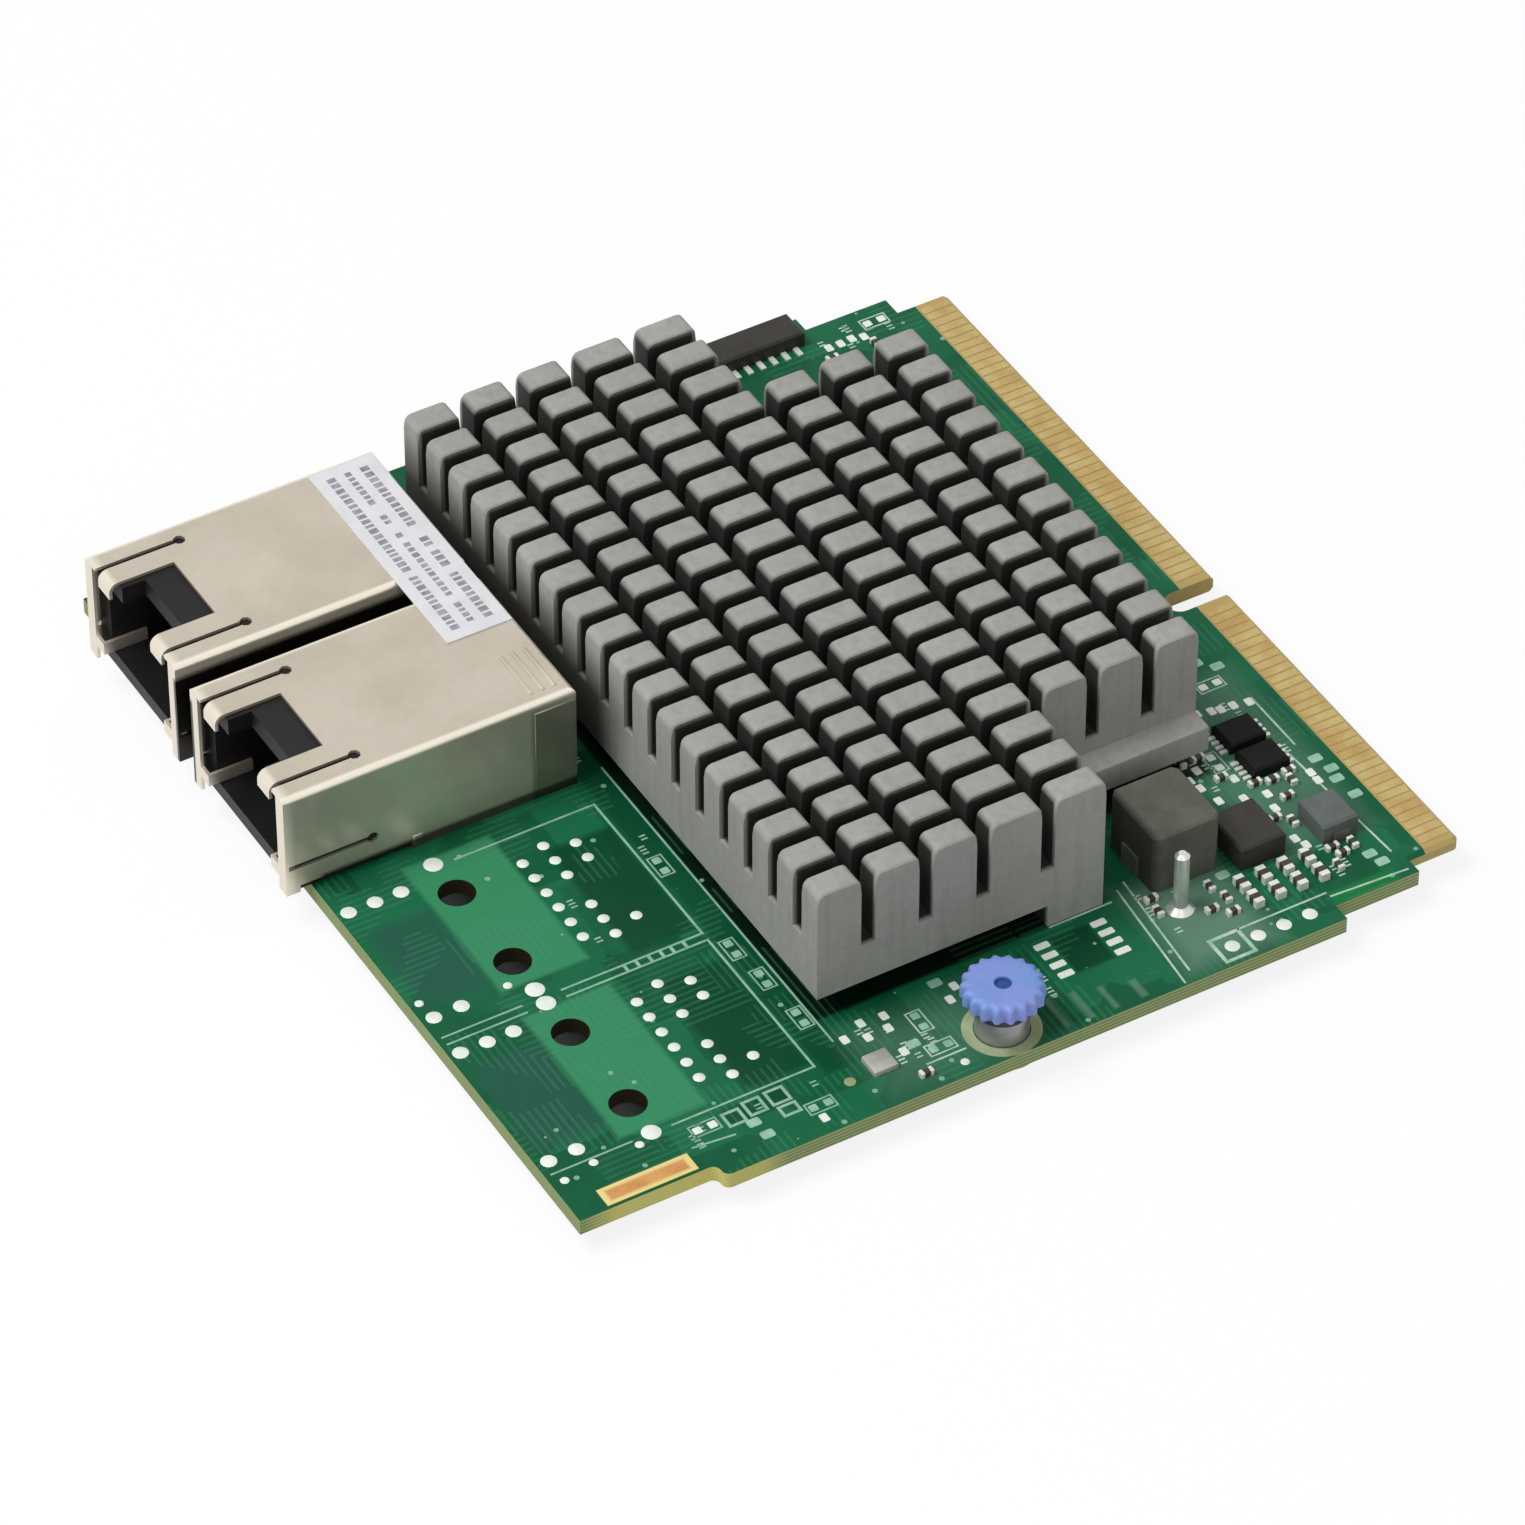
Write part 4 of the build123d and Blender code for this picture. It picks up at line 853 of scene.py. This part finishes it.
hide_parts("heat_sink")


# Screws under the board that hold the heat sink, with a driver socket

# Rings from the socket's floor over the head and up the shank: radius, rib height and level
SCREW_RINGS = (
    (1.05, 0, 1.1), (1.1, 0, 0.0), (2.0, 0, 0.0), (2.3, 0, 0.12), (2.45, 0, 0.3),
    (2.5, 0, 0.55), (2.5, 0, 2.1), (1.25, 0, 2.1), (1.25, 0, 8.6),
)
foot_y = wide_rear - FOOT_DEEP / 2
screw_spots = [(x, boss_y) for x in bosses]
screw_spots += [(x, foot_y) for x in (sink_low[0] + FOOT / 2, sink_high[0] - FOOT / 2)]
bm = bmesh.new()
for x, y in screw_spots:
    lathe(bm, Vector((x, y, 0)), SCREW_RINGS, 32)
heads = piece("heat_sink_screw_heads", bm, steel, smooth=35)
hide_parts("heat_sink_screws")


# Blue ribbed knob of the thumbscrew, hollow below, and the tinned ring round its sleeve

KNOB_RINGS = (
    (1.2, 0, 0.95), (2.65, 0, 0.95), (2.7, 0, 0), (3.2, 0.14, 0), (3.34, 0.2, 0.1),
    (3.34, 0.2, 1.15), (3.26, 0.18, 1.4), (3.05, 0.1, 1.58), (2.75, 0.03, 1.66), (2.4, 0, 1.68),
    (1.5, 0, 1.64), (0.8, 0, 1.6), (0.7, 0, 1.5), (0.62, 0, 1.27),
)
bm = bmesh.new()
lathe(bm, Vector((knob_x, knob_y, knob_low[2])), KNOB_RINGS, 144, ribs=18)
knob = piece("ribbed_knob", bm, blue_plastic, body="thumbscrew", smooth=40)
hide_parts("thumbscrew_knob")
TIN_THICK = 0.05
TIN_RING = ((2.4, 0, 0), (3.35, 0, 0), (3.35, 0, TIN_THICK), (2.4, 0, TIN_THICK))
bm = bmesh.new()
lathe(bm, Vector((knob_x, knob_y, TOP)), TIN_RING, closed=True)
lathe(bm, Vector((knob_x, knob_y, BOTTOM - TIN_THICK * MM)), TIN_RING, closed=True)
piece("sleeve_pad_ring", bm, ring_tin, smooth=30)


# Coil spring between the sleeve's shelf and the screw's flange

spring_low, spring_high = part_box("thumbscrew_spring")
WIRE, COIL, TURNS, TURN_STEPS, WIRE_SIDES = 0.13, 1.4, 3.5, 28, 8
bm = bmesh.new()
start = Matrix.Translation((knob_x + COIL * MM, knob_y, spring_low[2] + WIRE * MM))
upright = Matrix.Rotation(math.radians(90), 4, "X")
wire = bmesh.ops.create_circle(
    bm, cap_ends=False, segments=WIRE_SIDES, radius=WIRE * MM, matrix=start @ upright
)["verts"]
steps = int(TURNS * TURN_STEPS)
rise = (spring_high[2] - spring_low[2] - 2 * WIRE * MM) / steps
bmesh.ops.spin(
    bm, geom=list(wire) + edges_of(wire), cent=(knob_x, knob_y, 0), axis=(0, 0, 1), dvec=(0, 0, rise),
    angle=TURNS * 2 * math.pi, steps=steps, use_duplicate=False,
)
bmesh.ops.holes_fill(bm, edges=[e for e in bm.edges if e.is_boundary], sides=WIRE_SIDES)
coil = piece("coil_spring", bm, steel, body="press", smooth=60)
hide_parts("thumbscrew_spring")
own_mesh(coil)


# Jacks: soldered pin ends below the board, folded rear flaps, tabs and pressed ribs on the shields

HALF_PITCH = 1.02
PIN_ROWS = (
    (16.4, (-5, -3, -1, 1, 3, 5)),
    (18.94, (-6, -4, -2, 2, 4, 6)),
    (21.48, (-5, -3, 5)),
)
PINS = [(half * HALF_PITCH, y) for y, halves in PIN_ROWS for half in halves]
SHIELD_TAILS = [(-8.1, 9.95), (8.1, 9.95)]
# Solder under the board: a wide foot, then a stub that starts inside it
STUB_END, STUB_FOOT, SOLDER_FOOT = 0.3, 0.42, 0.72
FOOT_TALL, STUB_START, STUB_TALL = 0.45, 0.4, 0.7
# Flaps and tabs on the side walls: the wall's face, half a sheet, and where they reach
WALL, SHEET, FLAP = 8.27, 0.07, 4.0
TAB_NEAR, TAB_FAR, TAB_TALL = 9.5, 10.4, 1.3
# Ribs on top: their ends, the first one, the step to the next, half a width and the height
RIBS, RIB_LEFT, RIB_RIGHT = 3, 1.6, 7.0
RIB_FIRST, RIB_STEP, RIB_HALF, RIB_TALL = 1.3, 1.1, 0.2, 0.1
for number, centre in enumerate(JACKS[:2], start=1):
    bm = bmesh.new()
    for x, y in PINS + SHIELD_TAILS:
        cone(bm, below(centre + x, y, FOOT_TALL / 2), STUB_FOOT, SOLDER_FOOT, FOOT_TALL, 14)
        cone(bm, below(centre + x, y, STUB_START + STUB_TALL / 2), STUB_END, STUB_FOOT, STUB_TALL, 14)
    tails = piece(f"jack_{number}_soldered_pins", bm, silver, smooth=40)
    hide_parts(f"jack_{number}_solder_tails")
    bm = bmesh.new()
    for side in (-1, 1):
        x = centre + side * WALL
        low = at(x - SHEET, shield_back - FLAP, 0.35)
        block(bm, low, at(x + SHEET, shield_back - 0.1, shield_tall - 1.0), 0.05, 1)
        block(bm, at(x - SHEET, TAB_NEAR), at(x + SHEET, TAB_FAR, TAB_TALL), 0.05, 1)
    for step in range(RIBS):
        y = shield_back - RIB_FIRST - step * RIB_STEP
        low = at(centre + RIB_LEFT, y - RIB_HALF, shield_tall - 0.05)
        block(bm, low, at(centre + RIB_RIGHT, y + RIB_HALF, shield_tall + RIB_TALL), 0.09, 2)
    piece(f"jack_{number}_flaps_and_ribs", bm, tin_plate, smooth=40)


# Bare places: solder on both faces where two more jacks and a four-pin header would go

PEG_PADS = ((-8.75, 9.9), (8.6, 9.9))
EDGE_PADS = ((-7.2, 1.05), (-7.2, 3.55), (-7.2, 6.0), (7.3, 1.15), (7.25, 3.75))
JACK_PADS = ((PINS, 0.52), (PEG_PADS, 0.85), (EDGE_PADS, 0.7))
HEADER_X, HEADER, HEADER_PAD = 43.0, (62.1, 64.64, 67.18, 69.72), 0.66
ODD_PADS = ((16.9, 8.2), (38.4, 8.4), (15.1, 0.9), (38.9, 1.2), (38.3, 4.2), (43.5, 36.0))
ODD_PAD = 0.4
pads = bmesh.new()
for centre in JACKS[2:]:
    for spots, radius in JACK_PADS:
        for x, y in spots:
            pad(pads, centre + x, y, radius)
for y in HEADER:
    pad(pads, HEADER_X, y, HEADER_PAD)
for x, y in ODD_PADS:
    pad(pads, x, y, ODD_PAD)
piece("bare_hole_pads", pads, pad_tin, smooth=30)


# Flat pads and printed lines of the empty part places

# Width, depth, thickness and rounding of the pads
LEAD_PAD, PLACE_PAD = (0.7, 1.4, 0.05, 0.15), (0.75, 0.75, 0.04, 0.12)
LOOSE_PAD, WORN_PAD = (0.95, 0.7, 0.05, 0.15), (0.9, 1.2, 0.04, 0.2)
LEAD_SPOTS = [(x, y) for x in (35.1, 36.37, 37.64, 38.91) for y in (48.5, 54.0)]
# Two-pad places: x, y and turn, their printed size, and their pads from the middle
PLACE_LONG, PLACE_SHORT, PLACE_OUT = 2.5, 1.3, 0.7
FOOTPRINTS = (
    (39.4, 13.9, 90), (41.9, 23.3, 90), (10.8, 26.2, 0), (22.5, 26.3, 0), (26.8, 26.7, 0),
    (32.3, 27.0, 0), (37.6, 35.2, 0), (41.0, 35.2, 90), (14.9, 77.8, 90), (23.4, 72.9, 0),
    (-41.2, 78.0, 90),
)
# Printed squares: x, y, width and depth
FRAMES = (
    (39.6, 16.5, 1.5, 1.5), (39.3, 18.6, 1.6, 1.5), (39.2, 20.8, 1.6, 1.6), (41.0, 20.9, 1.1, 1.5),
)
LOOSE_PADS = (
    (36.4, 28.8), (35.4, 30.9), (35.6, 33.0), (37.1, 30.6), (37.0, 32.6), (40.0, 32.3),
    (36.7, 38.7), (17.5, 74.8), (17.8, 76.1), (18.0, 76.9), (18.1, 78.1), (18.4, 79.5), (20.2, 72.2),
    (20.7, 73.2), (24.3, 69.8), (25.5, 70.1), (27.6, 70.6), (25.9, 73.2), (28.9, 74.6), (30.7, 74.2),
    (28.5, 79.2), (29.6, 79.2), (34.7, 73.6), (35.8, 74.0), (-40.0, 72.6), (-40.0, 73.8),
    (-40.1, 75.0), (-39.8, 76.1), (-37.2, 73.9), (-37.6, 78.4), (28.4, 72.6), (23.5, 71.0),
    (35.5, 39.8), (43.3, 22.8),
)
WORN_PADS = (
    (27.2, 80.5), (28.9, 81.0), (30.2, 80.7), (32.6, 81.0), (39.4, 78.0), (40.7, 78.4), (35.4, 66.0),
    (42.6, 17.9), (40.9, 17.6), (34.4, 38.6), (39.6, 33.4), (12.0, 78.2), (13.2, 79.6),
)
# Places whose pads look worn lie between these two lines
WORN_NEAR, WORN_FAR = 15, 60
pads, worn, prints = bmesh.new(), bmesh.new(), bmesh.new()
for x, y in LEAD_SPOTS:
    plate(pads, at(x, y), *LEAD_PAD)
for x, y, turn in FOOTPRINTS:
    for side in (-PLACE_OUT, PLACE_OUT):
        spot = at(x, y + side) if turn else at(x + side, y)
        plate(worn if WORN_NEAR < y < WORN_FAR else pads, spot, *PLACE_PAD)
    wide, deep = (PLACE_SHORT, PLACE_LONG) if turn else (PLACE_LONG, PLACE_SHORT)
    outline(prints, x, y, wide, deep)
for x, y in LOOSE_PADS:
    plate(pads, at(x, y), *LOOSE_PAD)
for x, y in WORN_PADS:
    plate(worn, at(x, y), *WORN_PAD)
for x, y, wide, deep in FRAMES:
    outline(prints, x, y, wide, deep, 0.28)
piece("flat_pads", pads, pad_tin)
piece("worn_pads", worn, worn_pad)

# Frames round the two bare jack places, broken at the peg pads, with short strokes between the two
FRAME_SIDES, FRAME_REAR = ((1.45, 19.6), (20.5, 37.8)), 25.1
for x0, x1 in FRAME_SIDES:
    line(prints, (x0, FRAME_REAR), (x1, FRAME_REAR), 0.22)
    for x in (x0, x1):
        line(prints, (x, FRAME_REAR - 0.25), (x, 11.8), 0.2)
for x in (19.6, 20.5, 37.8):
    line(prints, (x, 8.0), (x, 0.6), 0.18)
outline(prints, HEADER_X, HEADER[0], 2.8, 2.8, 0.34)
LINES = (
    ((-2.2, 27.9), (36.0, 27.9)), ((32.6, 57.4), (44.7, 56.4)), ((33.5, 50.3), (33.5, 56.2)),
    ((41.55, 63.6), (41.55, 72.2)), ((18.1, 79.95), (24.8, 79.95)), ((25.9, 78.9), (40.0, 79.7)),
    ((42.1, 72.4), (42.55, 79.7)), ((32.0, 58.4), (43.6, 57.5)), ((40.9, 11.9), (41.3, 15.6)),
    ((42.2, 33.2), (42.2, 36.8)),
)
for a, b in LINES:
    line(prints, a, b, 0.19)
for y in (17.6, 18.7, 19.9, 21.0, 22.0, 23.2):
    line(prints, (19.86, y), (20.24, y), 0.3)

# Scattered short print, too small to be anything but strokes: two corners and how many marks
MARK_ZONES = (
    ((35.5, 28.8), (43.5, 35.5), 9), ((34.6, 43.0), (43.0, 47.0), 6), ((33.5, 58.2), (40.5, 61.5), 7),
    ((14.5, 70.8), (26.0, 79.0), 12), ((34.5, 73.5), (40.8, 78.5), 7), ((-42.5, 70.5), (-37.5, 79.5), 6),
    ((38.6, 11.5), (41.0, 25.0), 5), ((3.0, 16.6), (16.0, 17.4), 2), ((-5.0, 25.6), (8.0, 26.8), 4),
)
STROKE = 0.42
random.seed(11)
for low, high, count in MARK_ZONES:
    for _ in range(count):
        x, y = random.uniform(low[0], high[0]), random.uniform(low[1], high[1])
        for stroke in range(random.randint(2, 3)):
            line(prints, (x + stroke * STROKE, y), (x + stroke * STROKE, y + STROKE), 0.17)
piece("printed_lines", prints, silk)


# Small chips soldered round the power parts: x, y and turn

SMALL = (
    (16.4, 73.6, 0), (15.0, 75.4, 90), (20.9, 71.0, 0), (22.4, 71.8, 90), (27.8, 75.8, 90),
    (28.6, 77.2, 0), (30.1, 75.8, 90), (33.0, 74.5, 0), (38.0, 64.7, 0),
    (38.6, 62.9, 90), (39.7, 64.3, 90), (37.3, 75.6, 90), (38.3, 76.0, 90), (39.4, 74.9, 0),
    (37.7, 77.4, 0), (-38.3, 76.4, 0), (-38.4, 72.0, 90), (35.0, 59.2, 90), (36.6, 58.9, 0),
    (17.8, 70.9, 90), (43.2, 32.5, 90), (27.5, 77.6, 90), (27.4, 74.3, 90), (25.4, 72.2, 90),
    (31.9, 73.4, 90), (36.2, 64.2, 0), (22.2, 70.2, 0),
)
# Half a length, half a width and the height of a body and of an end, and how far out the ends sit
BODY_LONG, BODY_WIDE, BODY_TALL = 0.5, 0.26, 0.48
END_LONG, END_WIDE, END_TALL, END_OUT = 0.17, 0.31, 0.52, 0.44
bodies, ends = bmesh.new(), bmesh.new()
for x, y, turn in SMALL:
    along, across = Vector((1, 0, 0)), Vector((0, 1, 0))
    if turn:
        along, across = across, along
    spot, half = at(x, y), (along * BODY_LONG + across * BODY_WIDE) * MM
    block(bodies, spot - half, spot + half + UP * BODY_TALL * MM, 0.05, 1)
    half = (along * END_LONG + across * END_WIDE) * MM
    for side in (-END_OUT, END_OUT):
        end = spot + along * side * MM
        block(ends, end - half, end + half + UP * END_TALL * MM, 0.06, 2)
piece("small_chip_bodies", bodies, ceramic)
piece("small_chip_ends", ends, chip_end)


# A flat square can and two tinned aiming dots

CAN_LOW, CAN_HIGH, CAN_TALL = (39.1, 28.7), (41.4, 31.0), 0.5
DOTS, DOT, DOT_THICK = ((40.8, 26.7), (-42.6, 70.6)), 0.5, 0.04
bm = bmesh.new()
block(bm, at(*CAN_LOW), at(*CAN_HIGH, CAN_TALL), 0.15, 2)
piece("crystal_can", bm, can_metal, smooth=40)
bm = bmesh.new()
for x, y in DOTS:
    cone(bm, at(x, y, DOT_THICK / 2), DOT, DOT, DOT_THICK, 24)
piece("aiming_dots", bm, ring_tin)


# Print on the label: rows of plain strokes

# Each row's share of the label's depth, and the height of its strokes
LABEL_ROWS = ((0.24, 0.8), (0.5, 0.6), (0.76, 0.8))
LEFT_MARGIN, RIGHT_MARGIN, STROKE_GAP, INK_THICK = 1.2, 1.6, 0.24, 0.012
NARROW_STROKE, WIDE_STROKE, SKIPPED = 0.3, 0.65, 0.16
label_low, label_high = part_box("jack_label")
label_z = (label_high[2] - TOP) / MM
left, front = on_board(*label_low[:2])
right, rear = on_board(*label_high[:2])
bm = bmesh.new()
for share, high in LABEL_ROWS:
    row = front + share * (rear - front)
    x = left + LEFT_MARGIN
    while x < right - RIGHT_MARGIN:
        wide = random.uniform(NARROW_STROKE, WIDE_STROKE)
        if random.random() > SKIPPED:
            low = at(x, row - high / 2, label_z)
            box(bm, low, at(x + wide, row + high / 2, label_z + INK_THICK))
        x += wide + STROKE_GAP
piece("label_strokes", bm, ink)


# Faint moulded ring on the choke

CHOKE_RING = ((1.45, 0, 0), (1.8, 0, 0), (1.75, 0, 0.03), (1.5, 0, 0.03))
bm = bmesh.new()
middle = Vector(((choke_low[0] + choke_high[0]) / 2, (choke_low[1] + choke_high[1]) / 2, choke_high[2]))
lathe(bm, middle, CHOKE_RING, 40, closed=True)
piece("choke_ring", bm, ferrite, smooth=30)


# Floor, light and camera

# Half the floor's side in metres, then strengths as light and as the camera sees them
FLOOR_HALF, FLOOR_GLOW, FLOOR_SEEN = 3.0, 1.14, 0.75
WORLD_LIGHT, WORLD_SEEN = 0.36, 0.95
bm = bmesh.new()
bmesh.ops.create_grid(bm, x_segments=1, y_segments=1, size=FLOOR_HALF)
mesh = bpy.data.meshes.new("floor")
bm.to_mesh(mesh)
bm.free()
floor = bpy.data.objects.new("floor", mesh)
bpy.context.scene.collection.objects.link(floor)
floor_paint, t, shader = material("pale_floor")
shader.inputs["Base Color"].default_value = (0.6, 0.6, 0.6, 1)
shader.inputs["Roughness"].default_value = 0.9
shader.inputs["Specular IOR Level"].default_value = 0.1
glow = t.add("ShaderNodeEmission", {"Color": (1, 1, 1, 1), "Strength": FLOOR_GLOW})
# The floor doesn't glow under the card
clear = t.rest(t.patch((-40.0, 4.0), (36.0, 80.0), 1.5))
seen = t.times(t.seen(), FLOOR_SEEN, clear)
blend = t.add("ShaderNodeMixShader", {0: seen, 1: shader.outputs[0], 2: glow.outputs[0]})
t.feed(floor_paint.node_tree.nodes["Material Output"].inputs["Surface"], blend.outputs[0])
mesh.materials.append(floor_paint)

world = bpy.data.worlds.new("studio")
bpy.context.scene.world = world
world.use_nodes = True
t = Tree(world.node_tree)
back = world.node_tree.nodes["Background"]
back.inputs["Color"].default_value = (1, 1, 1, 1)
level = t.add("ShaderNodeMapRange", {0: t.seen(), 3: WORLD_LIGHT, 4: WORLD_SEEN})
t.feed(back.inputs["Strength"], level.outputs[0])


def lamp(name, spot, size, watts):
    """A soft square light aimed at the card."""
    light = bpy.data.lights.new(name, "AREA")
    light.shape = "SQUARE"
    light.size = size
    light.energy = watts
    made = bpy.data.objects.new(name, light)
    made.location = spot
    made.rotation_euler = (-Vector(spot)).to_track_quat("-Z", "Y").to_euler()
    bpy.context.scene.collection.objects.link(made)


lamp("key_light", (-0.1, -0.42, 0.76), 0.4, 4.9)
lamp("side_light", (0.7, -0.2, 0.5), 0.4, 0.9)

# The camera looks at a point in the card, from so many metres away
AZIMUTH, ELEVATION = math.radians(59.67), math.radians(42.51)
TARGET, AWAY = Vector((4.08, -1.625, 3.67)) * MM, 0.7422
FOCAL_LENGTH, SENSOR = 207.6, 36.0
flat = math.cos(ELEVATION)
back_way = Vector((math.sin(AZIMUTH) * flat, -math.cos(AZIMUTH) * flat, math.sin(ELEVATION)))
lens = bpy.data.cameras.new("photo_camera")
lens.lens = FOCAL_LENGTH
lens.sensor_width = SENSOR
lens.clip_start = 0.01
camera = bpy.data.objects.new("photo_camera", lens)
camera.location = TARGET + back_way * AWAY
camera.rotation_euler = back_way.to_track_quat("Z", "Y").to_euler()
bpy.context.scene.collection.objects.link(camera)
bpy.context.scene.camera = camera
bpy.context.scene.view_settings.view_transform = "Standard"
